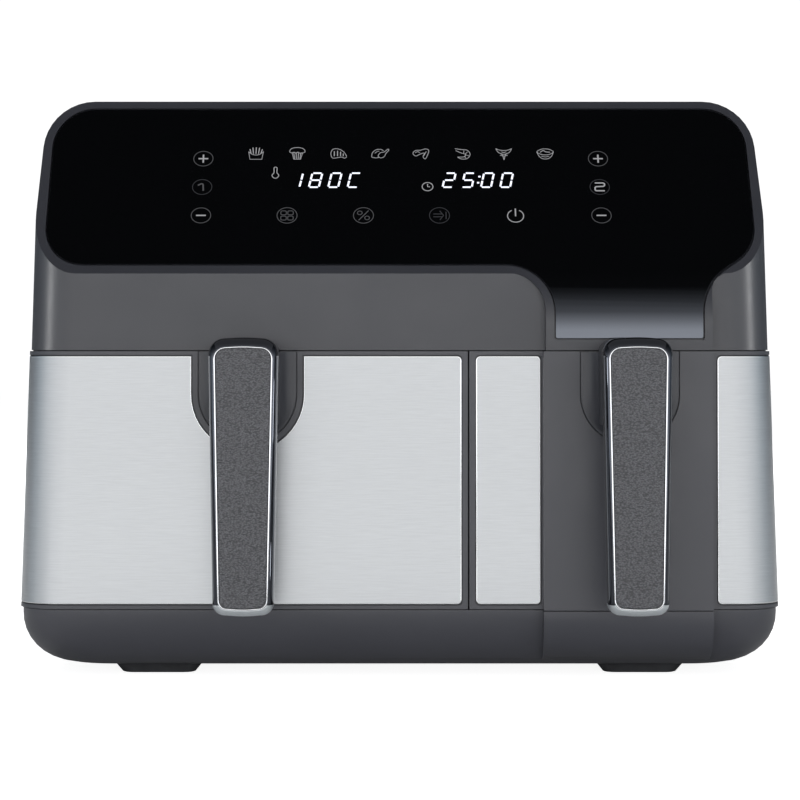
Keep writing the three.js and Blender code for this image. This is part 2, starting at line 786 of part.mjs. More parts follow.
addPart("base_tray", baseTray(), "charcoal");
addPart("outer_shell", outerShell(), "charcoal");
addPart("rear_cover", rearCover(), "dark");
addPart("control_panel", controlPanel(), "gloss");
addPart("control_board", controlBoard(), "board");
addPart("display_module", displayModule(), "dark");
addPart("power_board", powerBoard(), "board");
addPart("front_frame", frontFrame(), "dark");
addPart("cord_gland", cordGland(), "rubber");
SCREWS.forEach((place, i) => addPart(`rear_screw_${i + 1}`, rearScrew(place), "steel"));
for (const [end, y] of [
  ["front", -92],
  ["rear", 158],
]) {
  addPart(`foot_${end}_left`, foot(-132.5, y), "rubber");
  addPart(`foot_${end}_right`, foot(132.5, y), "rubber");
}

for (const [side, sizes] of Object.entries(DRAWERS)) {
  const middle = (sizes.cavity[0] + sizes.cavity[1]) / 2;
  addPart(`cavity_${side}`, cavity(sizes), "sheet");
  addPart(`exhaust_duct_${side}`, exhaustDuct(sizes), "sheet");
  addPart(`heater_${side}`, heater(sizes), "sheet");
  addPart(`motor_bracket_${side}`, motorBracket(sizes), "sheet");
  addPart(`motor_${side}`, motor(sizes), "sheet");
  addPart(`temperature_probe_${side}`, rod(middle + 52, [148, 166], 180, 2.2, 10), "steel");

  const rotor = new THREE.Group();
  addPart(`motor_shaft_${side}`, post(middle, FAN_Y, [186, 276], 3, 12), "steel", rotor);
  addPart(`hot_fan_${side}`, fan(middle, sizes.fan, [199, 200.4], [188, 200], 9), "sheet", rotor);
  addPart(`cooling_fan_${side}`, fan(middle, 34, [260, 261.4], [261, 272], 7), "dark", rotor);
  fryer.add(rotor);

  const drawer = new THREE.Group();
  addPart(`drawer_front_${side}`, drawerFront(side), "charcoal", drawer);
  for (const [name, plate] of steelPanels(side)) addPart(name, plate, "steel", drawer);
  addPart(`inner_cover_${side}`, innerCover(side), "dark", drawer);
  addPart(`handle_root_${side}`, handleRoot(side), "charcoal", drawer);
  addPart(`handle_frame_${side}`, handleFrame(side), "chrome", drawer);
  addPart(`handle_inlay_${side}`, handleInlay(side), "grain", drawer);
  addPart(`basket_${side}`, basket(sizes), "coating", drawer);
  const tray = new THREE.Group();
  addPart(`crisper_plate_${side}`, crisper(sizes), "coating", tray);
  for (const end of ["front", "rear"]) {
    addPart(`crisper_buffer_${side}_${end}`, buffer(sizes, end), "silicone", tray);
  }
  drawer.add(tray);
  fryer.add(drawer);
}

export default fryer;
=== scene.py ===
"""A two-drawer air fryer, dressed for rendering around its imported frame.

Shapes are drawn in millimetres in the frame's own axes (+Z up, the drawers face -Y) and stored
in metres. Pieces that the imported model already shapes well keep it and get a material; the rest
are built here at a finer resolution and ride on the same bodies.
"""

from math import atan, atan2, cos, dist, exp, pi, radians, sin, sqrt, tan

import bmesh
import bpy
import numpy as np
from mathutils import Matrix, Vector


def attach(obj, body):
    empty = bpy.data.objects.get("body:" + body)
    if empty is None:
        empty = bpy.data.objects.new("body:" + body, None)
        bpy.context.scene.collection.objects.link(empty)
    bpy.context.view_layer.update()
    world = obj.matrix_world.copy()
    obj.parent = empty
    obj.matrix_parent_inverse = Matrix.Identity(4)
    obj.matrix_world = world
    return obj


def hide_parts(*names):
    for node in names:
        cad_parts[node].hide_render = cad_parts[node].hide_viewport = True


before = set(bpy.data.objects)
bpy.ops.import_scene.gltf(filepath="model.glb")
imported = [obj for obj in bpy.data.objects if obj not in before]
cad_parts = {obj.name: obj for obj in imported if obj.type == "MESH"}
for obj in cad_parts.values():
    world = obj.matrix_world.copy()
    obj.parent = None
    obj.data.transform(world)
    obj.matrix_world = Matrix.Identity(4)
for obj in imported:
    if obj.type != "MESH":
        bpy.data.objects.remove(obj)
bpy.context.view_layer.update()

# ------------------------------------------------------------------ camera
EYE = (-0.0184, -1.732, 0.1829)
LENS = 133.33
SENSOR = 36
SHIFT = (0.0425, -0.075)


def placed(name, data):
    made = bpy.data.objects.new(name, data)
    bpy.context.scene.collection.objects.link(made)
    return made


camera = placed("camera", bpy.data.cameras.new("camera"))
camera.location = EYE
camera.rotation_euler = (radians(90), 0, 0)
camera.data.lens = LENS
camera.data.sensor_width = SENSOR
camera.data.shift_x, camera.data.shift_y = SHIFT
camera.data.clip_end = 60
bpy.context.scene.camera = camera
bpy.context.scene.view_settings.view_transform = "Standard"

# ------------------------------------------------------------------ the fryer's own dimensions, mm
SIDES = ("left", "right")
GAP = 0.4  # clearance between neighbouring pieces
WALL = 3.0  # moulded wall
TOP = 317.6  # overall height
REAR = 200.0  # back face
FRONT = -132.0  # front face, where it meets the sloping fascia
CREASE_Z = 218.8  # height of that meeting line
SLOPE = 0.7536  # fascia: run back per unit of rise
LEAN = 0.022  # the front face comes forward by this much per unit down
TILT = atan(SLOPE)
BASE_Z = 5.5  # underside of the base tray
BASE_TOP = 37.4  # joint between base tray and drawers
DRAWER_TOP = 177.0  # joint between drawers and shell
SEAM_Y = -102.0  # rear edge of the drawer fronts
SPLIT_X = 36.9  # joint between the two drawers
WAIST = 198.3  # half width near the top
FLARE = 7.7  # extra half width near the base
FLARE_TOP = 300  # the flare starts here, and widens over this span by this power
FLARE_SPAN = 261
FLARE_BEND = 1.15
PLAN_R = 25.0  # vertical corner radius
BOTTOM_R = 30.0  # lower edge radius
TOP_R = 27.0  # upper edge radius
PROUD = 0.8  # drawer fronts stand proud of the shell by this much
NOSE_X = (78.2, 167.8)  # raised band that runs down from the control panel
NOSE_R = 52.0  # radius of the panel's bend into the vertical
NOSE_TOP = 219.5  # where the bend starts
BAND_X = (NOSE_X[0] - 1.2, NOSE_X[1] + 0.3)  # the same band on the drawer and the base
BAND = {"left": PROUD, "right": 9.0}  # how far each drawer stands out behind its grip
PANEL_THICK = 3.0

HANDLE_X = {"left": -82.3, "right": 123.2}
GRIP_Y = -194.4  # front of a grip at this height
GRIP_LEVEL = 178
GRIP_LEAN = 0.04  # it comes forward by this much per unit down
GRIP_HALF_TOP = 18.45  # half width at its two ends
GRIP_HALF_BOTTOM = 15.95
HANDLE_TOP = 184.0
HANDLE_BOTTOM = 39.6
LIP_Z = 45.6  # below this the frame is a satin lip, coloured pale and bluish as painted reflection of the floor
GRIP_DEEP = 20.3  # from a grip's front to its neck
SHOULDER_Y = -147.0  # rear end of the block behind a grip's top
PAD_Z = 153.5  # centre of the round end of the U-shaped pad behind each grip
PAD_TOP = DRAWER_TOP - 0.6
PAD_R = 26.5
PAD_BEND = 158  # its sides are straight above this
NOTCH_R = 30.1  # the left steel plate is cut back round its pad
STEEL_X = {
    "left": {"left": (-240, 33.2)},
    "right": {"right_inner": (40.8, 75.9), "right_outer": (171, 240)},
}
STEEL_Z = (40.4, 174.4)
RIM_AREA = 0.0002  # faces of a steel plate smaller than this, in square metres, are its rim

BASKETS = {"left": (-184, 20), "right": (51, 184)}
BASKET_Y = (-101.8, 150)
BASKET_R = 18
CAVITIES = ((-193, 27.5), (43, 193))
REAR_SEAT = ((-172, 172), (58, 284))  # recess that holds the rear cover, x and z
REAR_OPENING = ((-162, 162), (68, 274))
SCREWS = [(-166.5, 64), (166.5, 64), (-166.5, 278), (166.5, 278)]
SCREW_HOLE_R = 2.2
GLAND = (-132, 84)
FEET_X = {"left": -132.5, "right": 132.5}
FEET_Y = {"front": -92, "rear": 158}

FAR = 250  # cutting tools reach this far to the sides, the front and the top
BEYOND = 300  # and this far to the back
ACROSS = (-FAR, FAR)


# ------------------------------------------------------------------ mesh helpers
def edit(mesh, change):
    work = bmesh.new()
    work.from_mesh(mesh)
    change(work)
    work.to_mesh(mesh)
    work.free()


def face_outward(work):
    bmesh.ops.recalc_face_normals(work, faces=work.faces)


def new_object(name, points, faces):
    """A mesh object from points in millimetres, facing outward."""
    mesh = bpy.data.meshes.new(name)
    mesh.from_pydata([(x * 0.001, y * 0.001, z * 0.001) for x, y, z in points], [], faces)
    edit(mesh, face_outward)
    return placed(name, mesh)


def loft(name, rings, caps=(True, True)):
    """A skin through rings of equally many points, closed at both ends unless told otherwise."""
    count = len(rings[0])
    points = [p for ring in rings for p in ring]
    faces = []
    for i in range(len(rings) - 1):
        for j in range(count):
            k = (j + 1) % count
            faces.append((i * count + j, i * count + k, (i + 1) * count + k, (i + 1) * count + j))
    if caps[0]:
        faces.append(tuple(range(count)))
    if caps[1]:
        faces.append(tuple((len(rings) - 1) * count + j for j in range(count)))
    return new_object(name, points, faces)


def apply_modifiers(piece):
    graph = bpy.context.evaluated_depsgraph_get()
    mesh = bpy.data.meshes.new_from_object(piece.evaluated_get(graph))
    old = piece.data
    piece.modifiers.clear()
    piece.data = mesh
    bpy.data.meshes.remove(old)
    return piece


def modify(piece, kind, **settings):
    step = piece.modifiers.new(kind, kind)
    for key, value in settings.items():
        setattr(step, key, value)


def combine(piece, tools, operation):
    """Adds, cuts away or keeps what the tools share with the piece, and uses the tools up."""
    for tool in tools if isinstance(tools, list) else [tools]:
        modify(piece, "BOOLEAN", object=tool, operation=operation, solver="MANIFOLD")
        apply_modifiers(piece)
        mesh = tool.data
        bpy.data.objects.remove(tool)
        bpy.data.meshes.remove(mesh)
    return piece


def add(piece, tools):
    return combine(piece, tools, "UNION")


def cut(piece, tools):
    return combine(piece, tools, "DIFFERENCE")


def keep(piece, tools):
    return combine(piece, tools, "INTERSECT")


def moved_back(piece, distance):
    for vertex in piece.data.vertices:
        vertex.co.y += distance * 0.001
    return piece


def copied(piece):
    other = piece.copy()
    other.data = piece.data.copy()
    bpy.context.scene.collection.objects.link(other)
    return other


def simplify(work):
    bmesh.ops.remove_doubles(work, verts=work.verts, dist=0.00002)
    flat = radians(0.6)
    bmesh.ops.dissolve_limit(work, angle_limit=flat, verts=work.verts, edges=work.edges, delimit={"NORMAL"})


def soften(piece, width, angle=28, smooth=34):
    """Small rounded edges, and smooth shading between faces that nearly agree."""
    if width:
        edit(piece.data, simplify)
        edge = {"width": width * 0.001, "segments": 2, "limit_method": "ANGLE", "miter_outer": "MITER_ARC"}
        modify(piece, "BEVEL", **edge, angle_limit=radians(angle), use_clamp_overlap=True)
        apply_modifiers(piece)
    for face in piece.data.polygons:
        face.use_smooth = True
    piece.data.set_sharp_from_angle(angle=radians(smooth))
    modify(piece, "WEIGHTED_NORMAL", keep_sharp=True, weight=60)
    apply_modifiers(piece)


def box(x, y, z):
    rings = [[(x[0], y[0], h), (x[1], y[0], h), (x[1], y[1], h), (x[0], y[1], h)] for h in z]
    return loft("box", rings)


def arc(cx, cy, radius, start, end, count):
    turns = np.linspace(start, end, count)
    return [(cx + radius * cos(t), cy + radius * sin(t)) for t in turns]


def circle(cx, cy, radius, sides):
    return arc(cx, cy, radius, 0, 2 * pi * (1 - 1 / sides), sides)


def rounded(corners, segments=8):
    """A closed outline through corners (x, y, radius), each rounded by an arc."""
    outline = []
    count = len(corners)
    for i, corner in enumerate(corners):
        radius = corner[2] if len(corner) > 2 else 0
        here = Vector(corner[:2])
        before = (Vector(corners[i - 1][:2]) - here).normalized()
        after = (Vector(corners[(i + 1) % count][:2]) - here).normalized()
        if radius <= 0:
            outline.append(tuple(here))
            continue
        half = before.angle(after) / 2
        reach = radius / tan(half)
        middle = here + (before + after).normalized() * (radius / sin(half))
        first = here + before * reach - middle
        sweep = pi - 2 * half
        turn = -1 if before.cross(after) > 0 else 1
        start = atan2(first.y, first.x)
        outline += arc(middle.x, middle.y, radius, start, start + turn * sweep, segments + 1)
    return outline


def rectangle(x, y, radius, segments=8):
    (x0, x1), (y0, y1) = x, y
    return rounded([(x0, y0, radius), (x1, y0, radius), (x1, y1, radius), (x0, y1, radius)], segments)


def prism_y(outline, y0, y1):
    """An outline drawn in front view, as (x, z), run from y0 back to y1."""
    return loft("prism", [[(x, y0, z) for x, z in outline], [(x, y1, z) for x, z in outline]])


def prism_x(outline, x0, x1):
    """An outline drawn in side view, as (y, z), run from x0 to x1."""
    return loft("prism", [[(x0, y, z) for y, z in outline], [(x1, y, z) for y, z in outline]])


def prism_z(outline, z0, z1):
    return loft("prism", [[(x, y, z0) for x, y in outline], [(x, y, z1) for x, y in outline]])


def rod_y(x, y0, y1, z, radius, sides=32):
    return prism_y(circle(x, z, radius, sides), y0, y1)


def turned(name, profile, cx, cz, sides=48):
    """A ring of revolution about a line along Y: profile is a closed list of (radius, y)."""
    points = []
    faces = []
    n = len(profile)
    for i in range(sides):
        t = 2 * pi * i / sides
        points += [(cx + r * cos(t), y, cz + r * sin(t)) for r, y in profile]
        j = (i + 1) % sides
        faces += [(i * n + k, i * n + (k + 1) % n, j * n + (k + 1) % n, j * n + k) for k in range(n)]
    return new_object(name, points, faces)


# ------------------------------------------------------------------ the body's form
def round_inset(distance, radius):
    d = min(max(distance, 0), radius)
    return radius - sqrt(radius * radius - d * d)


def edge_inset(z):
    return round_inset(BASE_Z + BOTTOM_R - z, BOTTOM_R) + round_inset(z - (TOP - TOP_R), TOP_R)


def half_width(z):
    return WAIST + FLARE * max(0, (FLARE_TOP - z) / FLARE_SPAN) ** FLARE_BEND


def front_y(z):
    return FRONT - LEAN * (CREASE_Z - z)


def body_ring(z, margin=0, segments=12):
    inset = edge_inset(z) - margin
    side = half_width(z) - inset
    near = front_y(z) + inset
    far = REAR - inset
    return [(x, y, z) for x, y in rectangle((-side, side), (near, far), PLAN_R, segments)]


def body_block(levels, margin=0, segments=12):
    return loft("body", [body_ring(z, margin, segments) for z in levels])


def round_levels(low, high, radius, at_top, steps=9):
    """Heights through a rounded edge, evenly spaced round its arc."""
    turns = [pi / 2 * i / steps for i in range(1, steps + 1)]
    if at_top:
        return [high - radius + radius * sin(t) for t in turns]
    return [low + radius - radius * sin(t) for t in reversed(turns)]


def slope_y(z):
    return FRONT + SLOPE * (z - CREASE_Z)


def fascia_line(bottom, depth, steps=14):
    back = depth * cos(TILT)
    down = depth * sin(TILT)
    line = [(slope_y(TOP + 20) + back, TOP + 20 - down)]
    cy = slope_y(NOSE_TOP) + NOSE_R * cos(TILT)
    cz = NOSE_TOP - NOSE_R * sin(TILT)
    for i in range(steps + 1):
        turn = TILT * (1 - i / steps)
        line.append((cy - (NOSE_R - depth) * cos(turn), cz + (NOSE_R - depth) * sin(turn)))
    line.append((line[-1][0], bottom))
    return line


def behind_fascia(depth, bottom, half=FAR):
    line = fascia_line(bottom, depth) + [(REAR + 60, bottom), (REAR + 60, TOP + 20)]
    return prism_x(line, -half, half)


def above_slope(depth):
    shift = depth / cos(TILT)
    low = CREASE_Z - 60
    high = TOP + 40
    near = FRONT - 80
    line = [(slope_y(low) + shift, low), (slope_y(high) + shift, high), (near, high), (near, low)]
    return prism_x(line, -FAR - 10, FAR + 10)


def panel_outline(m=0.0):
    """The control panel's outline in front view, grown by m."""
    left, right, top = -192.8 - m, 193.2 + m, 312.7 + m
    band_left, band_right, low = 83.5 - m, 162.7 + m, 183.7 - m
    corners = [(left, top, 22.5 + m), (left, 223.9 - m, 21 + m), (band_left, 223.9 - m, 26 - m)]
    corners += [(band_left, low, 1 + m / 2), (band_right, low, 1 + m / 2)]
    corners += [(band_right, 213.6 - 1.6 * m, 28), (right, 232.9 - 0.6 * m, 24), (right, top, 22.5 + m)]
    return rounded(corners, 12)


def nose_outline():
    """The raised band's outline in front view, flared out where it meets the slope."""
    x0, x1 = NOSE_X
    low, flare, high = DRAWER_TOP + GAP, CREASE_Z + 0.4, CREASE_Z + 3
    corners = [(x0, low, 0.5), (x1, low, 0.5), (x1, CREASE_Z, 10), (x1 + 12, flare)]
    corners += [(x1 + 12, high), (x0 - 26, high), (x0 - 26, flare), (x0, CREASE_Z, 20)]
    return rounded(corners, 10)


# ------------------------------------------------------------------ materials
def material(name, build, *args, **options):
    made = bpy.data.materials.new(name)
    made.use_nodes = True
    nodes = made.node_tree.nodes
    nodes.clear()
    out = nodes.new("ShaderNodeOutputMaterial")
    shader = nodes.new("ShaderNodeBsdfPrincipled")
    made.node_tree.links.new(shader.outputs[0], out.inputs[0])
    build(Wiring(made.node_tree, shader), *args, **options)
    return made


SOCKETS = {
    "color": "Base Color",
    "rough": "Roughness",
    "metal": "Metallic",
    "spec": "Specular IOR Level",
    "coat": "Coat Weight",
    "aniso": "Anisotropic",
    "aniso_turn": "Anisotropic Rotation",
    "emit": "Emission Color",
    "power": "Emission Strength",
    "tint": "Specular Tint",
    "normal": "Normal",
}


def toned(base, share):
    """A colour made darker or lighter, and held within white."""
    return tuple(min(1, c * share) for c in base)


class Wiring:
    """Short names for the nodes the materials here share."""

    def __init__(self, tree, shader):
        self.tree = tree
        self.shader = shader

    def link(self, a, b):
        self.tree.links.new(a, b)

    def set(self, **values):
        """Gives the shader's own sockets constant values."""
        for key, value in values.items():
            if key in ("color", "emit", "tint"):
                value = (*value, 1)
            self.shader.inputs[SOCKETS[key]].default_value = value

    def drive(self, key, source):
        self.link(source, self.shader.inputs[SOCKETS[key]])

    def vary(self, key, source, low, high):
        """Drives a socket from a texture, between two (position, value) stops."""
        self.drive(key, self.ramp(source, [low, high]))

    def node(self, kind, **props):
        made = self.tree.nodes.new(kind)
        for key, value in props.items():
            setattr(made, key, value)
        return made

    def coords(self, scale):
        source = self.node("ShaderNodeTexCoord")
        mapping = self.node("ShaderNodeMapping")
        mapping.inputs["Scale"].default_value = scale
        self.link(source.outputs["Object"], mapping.inputs["Vector"])
        return mapping.outputs[0]

    def noise(self, scale, detail=3, rough=0.5, stretch=(1, 1, 1)):
        made = self.node("ShaderNodeTexNoise")
        made.inputs["Scale"].default_value = scale
        made.inputs["Detail"].default_value = detail
        made.inputs["Roughness"].default_value = rough
        self.link(self.coords(stretch), made.inputs["Vector"])
        return made.outputs["Fac"]

    def cells(self, scale, stretch):
        made = self.node("ShaderNodeTexVoronoi")
        made.inputs["Scale"].default_value = scale
        self.link(self.coords(stretch), made.inputs["Vector"])
        return made.outputs["Distance"]

    def ramp(self, source, stops):
        made = self.node("ShaderNodeValToRGB")
        while len(made.color_ramp.elements) < len(stops):
            made.color_ramp.elements.new(0.5)
        for element, (at, value) in zip(made.color_ramp.elements, stops):
            element.position = at
            element.color = (*value, 1) if isinstance(value, tuple) else (value, value, value, 1)
        self.link(source, made.inputs[0])
        return made.outputs[0]

    def bump(self, source, distance, strength=1.0, after=None):
        made = self.node("ShaderNodeBump")
        made.inputs["Strength"].default_value = strength
        made.inputs["Distance"].default_value = distance
        self.link(source, made.inputs["Height"])
        if after is not None:
            self.link(after, made.inputs["Normal"])
        return made.outputs[0]


def plastic(w, base, rough, spec=0.5):
    """Moulded plastic: a fine spark-eroded grain, uneven sheen and a little colour drift."""
    w.set(spec=spec)
    w.vary("color", w.noise(9, 4, 0.6), (0.3, toned(base, 0.94)), (0.7, toned(base, 1.06)))
    w.vary("rough", w.noise(38, 4, 0.6), (0.3, rough[0]), (0.7, rough[1]))
    w.drive("normal", w.bump(w.noise(1600, 2, 0.6), 0.00002))


def brushed(w, base, along, rough, spread=0.05, aniso=0.55, depth=0.000012):
    """Brushed metal: long fine scratches in one direction, with the highlight drawn out across it."""
    w.set(metal=1.0, aniso=aniso, aniso_turn=0.25)
    lines = w.noise(1500, 3, 0.65, along)
    fine = w.noise(3600, 2, 0.7, along)
    w.vary("color", lines, (0.25, toned(base, 1 - spread)), (0.75, toned(base, 1 + spread)))
    w.vary("rough", lines, (0.25, rough[0]), (0.75, rough[1]))
    w.drive("normal", w.bump(fine, depth * 0.5, after=w.bump(lines, depth)))


def glossy(w, base, spec=0.5, coat=0.0, tint=(1, 1, 1)):
    """A polished surface with faint smudges."""
    w.set(color=base, spec=spec, coat=coat, tint=tint)
    w.vary("rough", w.noise(14, 5, 0.7), (0.35, 0.03), (0.75, 0.07))
    w.drive("normal", w.bump(w.noise(24, 2, 0.5), 0.00001))


def plated(w, base, rough=(0.04, 0.09)):
    """Plated metal with a light haze."""
    w.set(metal=1.0, color=base)
    w.vary("rough", w.noise(46, 4, 0.6), (0.3, rough[0]), (0.75, rough[1]))
    w.drive("normal", w.bump(w.noise(90, 2, 0.5), 0.000006))


def leather(w, base):
    """A moulded leather grain: small flattened pebbles, coloured lighter on their tops and darker in the
    creases between as painted light and shade over the grain, and finer pores.
    """
    w.set(spec=0.6)
    pebbles = w.cells(1250, (0.72, 1, 1.12))
    pores = w.noise(2400, 3, 0.7)
    # pebble tops lighter and creases darker: painted highlight and painted shade that follow the grain
    w.vary("color", pebbles, (0.12, toned(base, 1.48)), (0.75, toned(base, 0.55)))
    w.vary("rough", pores, (0.3, 0.26), (0.7, 0.42))
    w.drive("normal", w.bump(pores, 0.0001, 0.8, after=w.bump(pebbles, -0.0005, 0.9)))


def coating(w, base):
    """Non-stick coating: satin, with fine speckle and faint scuffs."""
    speck = w.noise(1300, 2, 0.5)
    w.vary("color", speck, (0.6, toned(base, 0.8)), (0.78, toned(base, 1.9)))
    w.vary("rough", w.noise(60, 5, 0.7, (1, 0.25, 1)), (0.3, 0.34), (0.7, 0.52))
    w.drive("normal", w.bump(speck, 0.00003))


def lit(w, base, power):
    """A lit mark, very slightly uneven."""
    w.set(color=(0.01, 0.01, 0.012), emit=base, rough=0.6, spec=0.1)
    w.vary("power", w.noise(900, 1, 0.5), (0.3, power * 0.92), (0.7, power))


def paper(w, base, glow):
    """A pale floor. Seen directly it is lifted towards white, and it throws little light back."""
    w.set(emit=(1, 1, 1), spec=0.1)
    seen = w.node("ShaderNodeMath", operation="MULTIPLY")
    seen.inputs[1].default_value = glow
    w.link(w.node("ShaderNodeLightPath").outputs["Is Camera Ray"], seen.inputs[0])
    w.drive("power", seen.outputs[0])
    drift = w.noise(1.5, 3, 0.5)
    w.vary("color", drift, (0.3, toned(base, 0.98)), (0.7, base))
    w.vary("rough", drift, (0.3, 0.85), (0.7, 0.95))


def rubbery(w, base):
    """Rubber: matt, mottled and finely grained."""
    w.set(spec=0.3)
    mottle = w.noise(120, 4, 0.6)
    w.vary("color", mottle, (0.3, toned(base, 0.8)), (0.7, toned(base, 1.25)))
    w.vary("rough", mottle, (0.3, 0.72), (0.7, 0.86))
    w.drive("normal", w.bump(w.noise(1800, 2, 0.6), 0.00003))


# The steel's colour, scratch direction, roughness and colour spread; the panel's colour, specular
# level, coat and tint
FRONT_BRUSH = ((0.672, 0.691, 0.708), (0.045, 0.045, 1), (0.31, 0.35), 0.06)
PANEL_GLOSS = ((0.0008, 0.0008, 0.001), 1.0, 1.0, (0.7, 0.8, 1.0))
LOOKS = {
    "housing": material("housing_plastic", plastic, (0.053, 0.055, 0.066), (0.31, 0.37), spec=0.75),
    "drawer": material("drawer_plastic", plastic, (0.077, 0.079, 0.093), (0.31, 0.37), spec=0.75),
    "housing_dark": material("dark_plastic", plastic, (0.045, 0.046, 0.05), (0.4, 0.5)),
    "glass": material("panel_glass", glossy, *PANEL_GLOSS),
    "steel": material("brushed_steel_front", brushed, *FRONT_BRUSH, depth=0.000003),
    # the rim's colour, brighter than the face's, is a painted highlight along the plates' edges
    "steel_rim": material("steel_rim_painted_highlight", plated, (0.93, 0.94, 0.95), (0.1, 0.16)),
    "chrome": material("handle_chrome", plated, (0.86, 0.87, 0.89)),
    # the grip frame's dark plating is painted dark reflection, and its lip's pale bluish plating is painted
    # reflection of the floor
    "chrome_painted_dark_reflection": material("handle_chrome_painted_dark_reflection", plated, (0.085, 0.09, 0.105), (0.015, 0.04)),
    "chrome_painted_floor_reflection": material("handle_chrome_painted_floor_reflection", plated, (0.92, 0.97, 1.0), (0.4, 0.48)),
    "leather": material("grained_inlay", leather, (0.158, 0.16, 0.172)),
    "rubber": material("foot_rubber", rubbery, (0.045, 0.046, 0.05)),
    "gland": material("gland_rubber", rubbery, (0.02, 0.02, 0.02)),
    "silicone": material("silicone", rubbery, (0.05, 0.05, 0.052)),
    "coating": material("nonstick_coating", coating, (0.032, 0.032, 0.034)),
    "sheet": material("inner_sheet", brushed, (0.6, 0.61, 0.62), (1, 0.03, 0.03), (0.3, 0.45)),
    "heater": material("heater_sheath", brushed, (0.3, 0.27, 0.25), (1, 1, 1), (0.4, 0.6), 0.2, 0.0),
    "bright": material("bright_steel", brushed, (0.6, 0.6, 0.61), (1, 1, 0.05), (0.2, 0.3)),
    "iron": material("motor_iron", plastic, (0.09, 0.09, 0.095), (0.4, 0.6)),
    "board": material("circuit_board", plastic, (0.02, 0.09, 0.035), (0.3, 0.4)),
    "display": material("display", glossy, (0.01, 0.01, 0.014)),
    "digits": material("display_digits", lit, (0.86, 0.89, 1.0), 1.5),
    "symbols": material("panel_symbols", lit, (0.8, 0.8, 0.83), 0.45),
    "symbols_dim": material("panel_symbols_dim", lit, (0.75, 0.76, 0.8), 0.1),
    "symbols_faint": material("panel_symbols_faint", lit, (0.7, 0.72, 0.8), 0.045),
}


def dress(piece, look, body, slot, *replaced):
    """Gives a piece its look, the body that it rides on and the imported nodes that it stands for."""
    piece.data.materials.clear()
    piece.data.materials.append(LOOKS[look])
    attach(piece, body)
    if replaced:
        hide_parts(*replaced)


# ------------------------------------------------------------------ housing
SHELL_LEVELS = (
    [BASE_TOP + GAP, 60, 90, 120, 150, DRAWER_TOP, 200, CREASE_Z, 235, 250, 265, 278, TOP - TOP_R]
    + round_levels(0, TOP, TOP_R, True)
)
SHELL_INSIDE = [30, 110, 177, 219, 260, 285, 297, 305, 310, TOP - 3.2]
BASE_LEVELS = round_levels(BASE_Z, 0, BOTTOM_R, False) + [BASE_Z + BOTTOM_R, BASE_TOP]
BASE_INSIDE = [BASE_Z + WALL, 11, 18, 26, 35.5, 50]


def slab_behind(near, far, bottom):
    """What lies between two depths behind the fascia, bent parts included."""
    return cut(behind_fascia(near, bottom), behind_fascia(far, 140, FAR + 1))


def screw_holes(y):
    return [rod_y(x, y, BEYOND, z, SCREW_HOLE_R, 16) for x, z in SCREWS]


def make_shell():
    nose = keep(prism_y(nose_outline(), FRONT - 40, FRONT + 10), behind_fascia(0, DRAWER_TOP + GAP))
    shell = add(cut(body_block(SHELL_LEVELS), above_slope(0)), nose)
    inside = body_block(SHELL_INSIDE, -WALL, 4)
    cut(inside, [above_slope(7), box(ACROSS, (REAR - 7, BEYOND), (0, 400))])
    bay = box(ACROSS, (-FAR, SEAM_Y + GAP), (0, DRAWER_TOP + GAP))
    pocket = prism_y(panel_outline(0.8), FRONT - 60, REAR)
    keep(pocket, slab_behind(-30, PANEL_THICK + 0.35, 150))
    window = prism_y(rectangle((-90, 92), (246, 292), 3), FRONT, 20)
    seat = box(REAR_SEAT[0], (REAR - 3.4, BEYOND), REAR_SEAT[1])
    opening = box(REAR_OPENING[0], (REAR - 12, BEYOND), REAR_OPENING[1])
    cut(shell, [inside, bay, pocket, window, seat, opening, *screw_holes(REAR - 12)])
    shell.name = "shell"
    soften(shell, 0.8)
    dress(shell, "housing", "housing", "housing_plastic", "outer_shell")


def make_base():
    base = body_block(BASE_LEVELS, -0.4)
    heights = np.linspace(BASE_Z + 4, BASE_TOP, 12)
    rise = [(front_y(z) + edge_inset(z) - 8.8 * (1 - exp(-(z - 8.7) / 4.6)), z) for z in heights]
    add(base, prism_x([(FRONT + 12, BASE_TOP), (FRONT + 12, BASE_Z + 4), *rise], *BAND_X))
    vents = []
    for middle in (-100, 100):
        for x in range(middle - 26, middle + 27, 13):
            vents.append(prism_z(rectangle((x - 2, x + 2), (10, 60), 1.9, 4), -10, 20))
    cut(base, [body_block(BASE_INSIDE, -WALL - 0.6, 4), *vents])
    base.name = "base"
    soften(base, 0.9)
    dress(base, "drawer", "housing", "housing_plastic", "base_tray")


def make_rear_cover():
    plate = prism_y(rectangle((-171.5, 171.5), (58.5, 283.5), 4), REAR - 3, REAR - 0.6)
    cuts = screw_holes(0)
    for x0, x1 in CAVITIES:
        middle = (x0 + x1) / 2
        for half, bottom, pitch, tall, rows in ((38, 174, 7, 3.2, 3), (30, 228, 9, 3.6, 5)):
            for row in range(rows):
                z = bottom + row * pitch
                slot = rectangle((middle - half, middle + half), (z, z + tall), tall / 2 - 0.1, 4)
                cuts.append(prism_y(slot, 190, 210))
    cuts.append(rod_y(GLAND[0], 0, BEYOND, GLAND[1], 8.4, 40))
    cut(plate, cuts)
    plate.name = "rear_panel"
    soften(plate, 0.45)
    dress(plate, "housing_dark", "housing", "dark_plastic", "rear_cover")


def make_gland():
    profile = [(4, 5.2), (8, 5.2), (8, 0.4), (10.6, 0.4), (11, 0.1)]
    profile += [(11, 0.1), (10.4, 0.02), (5, 0.02), (4.4, 0.2), (4, 0.8)]
    ring = turned("cord_bushing", [(r, REAR - deep) for r, deep in profile], *GLAND)
    soften(ring, 0)
    dress(ring, "gland", "housing", "gland_rubber", "cord_gland")


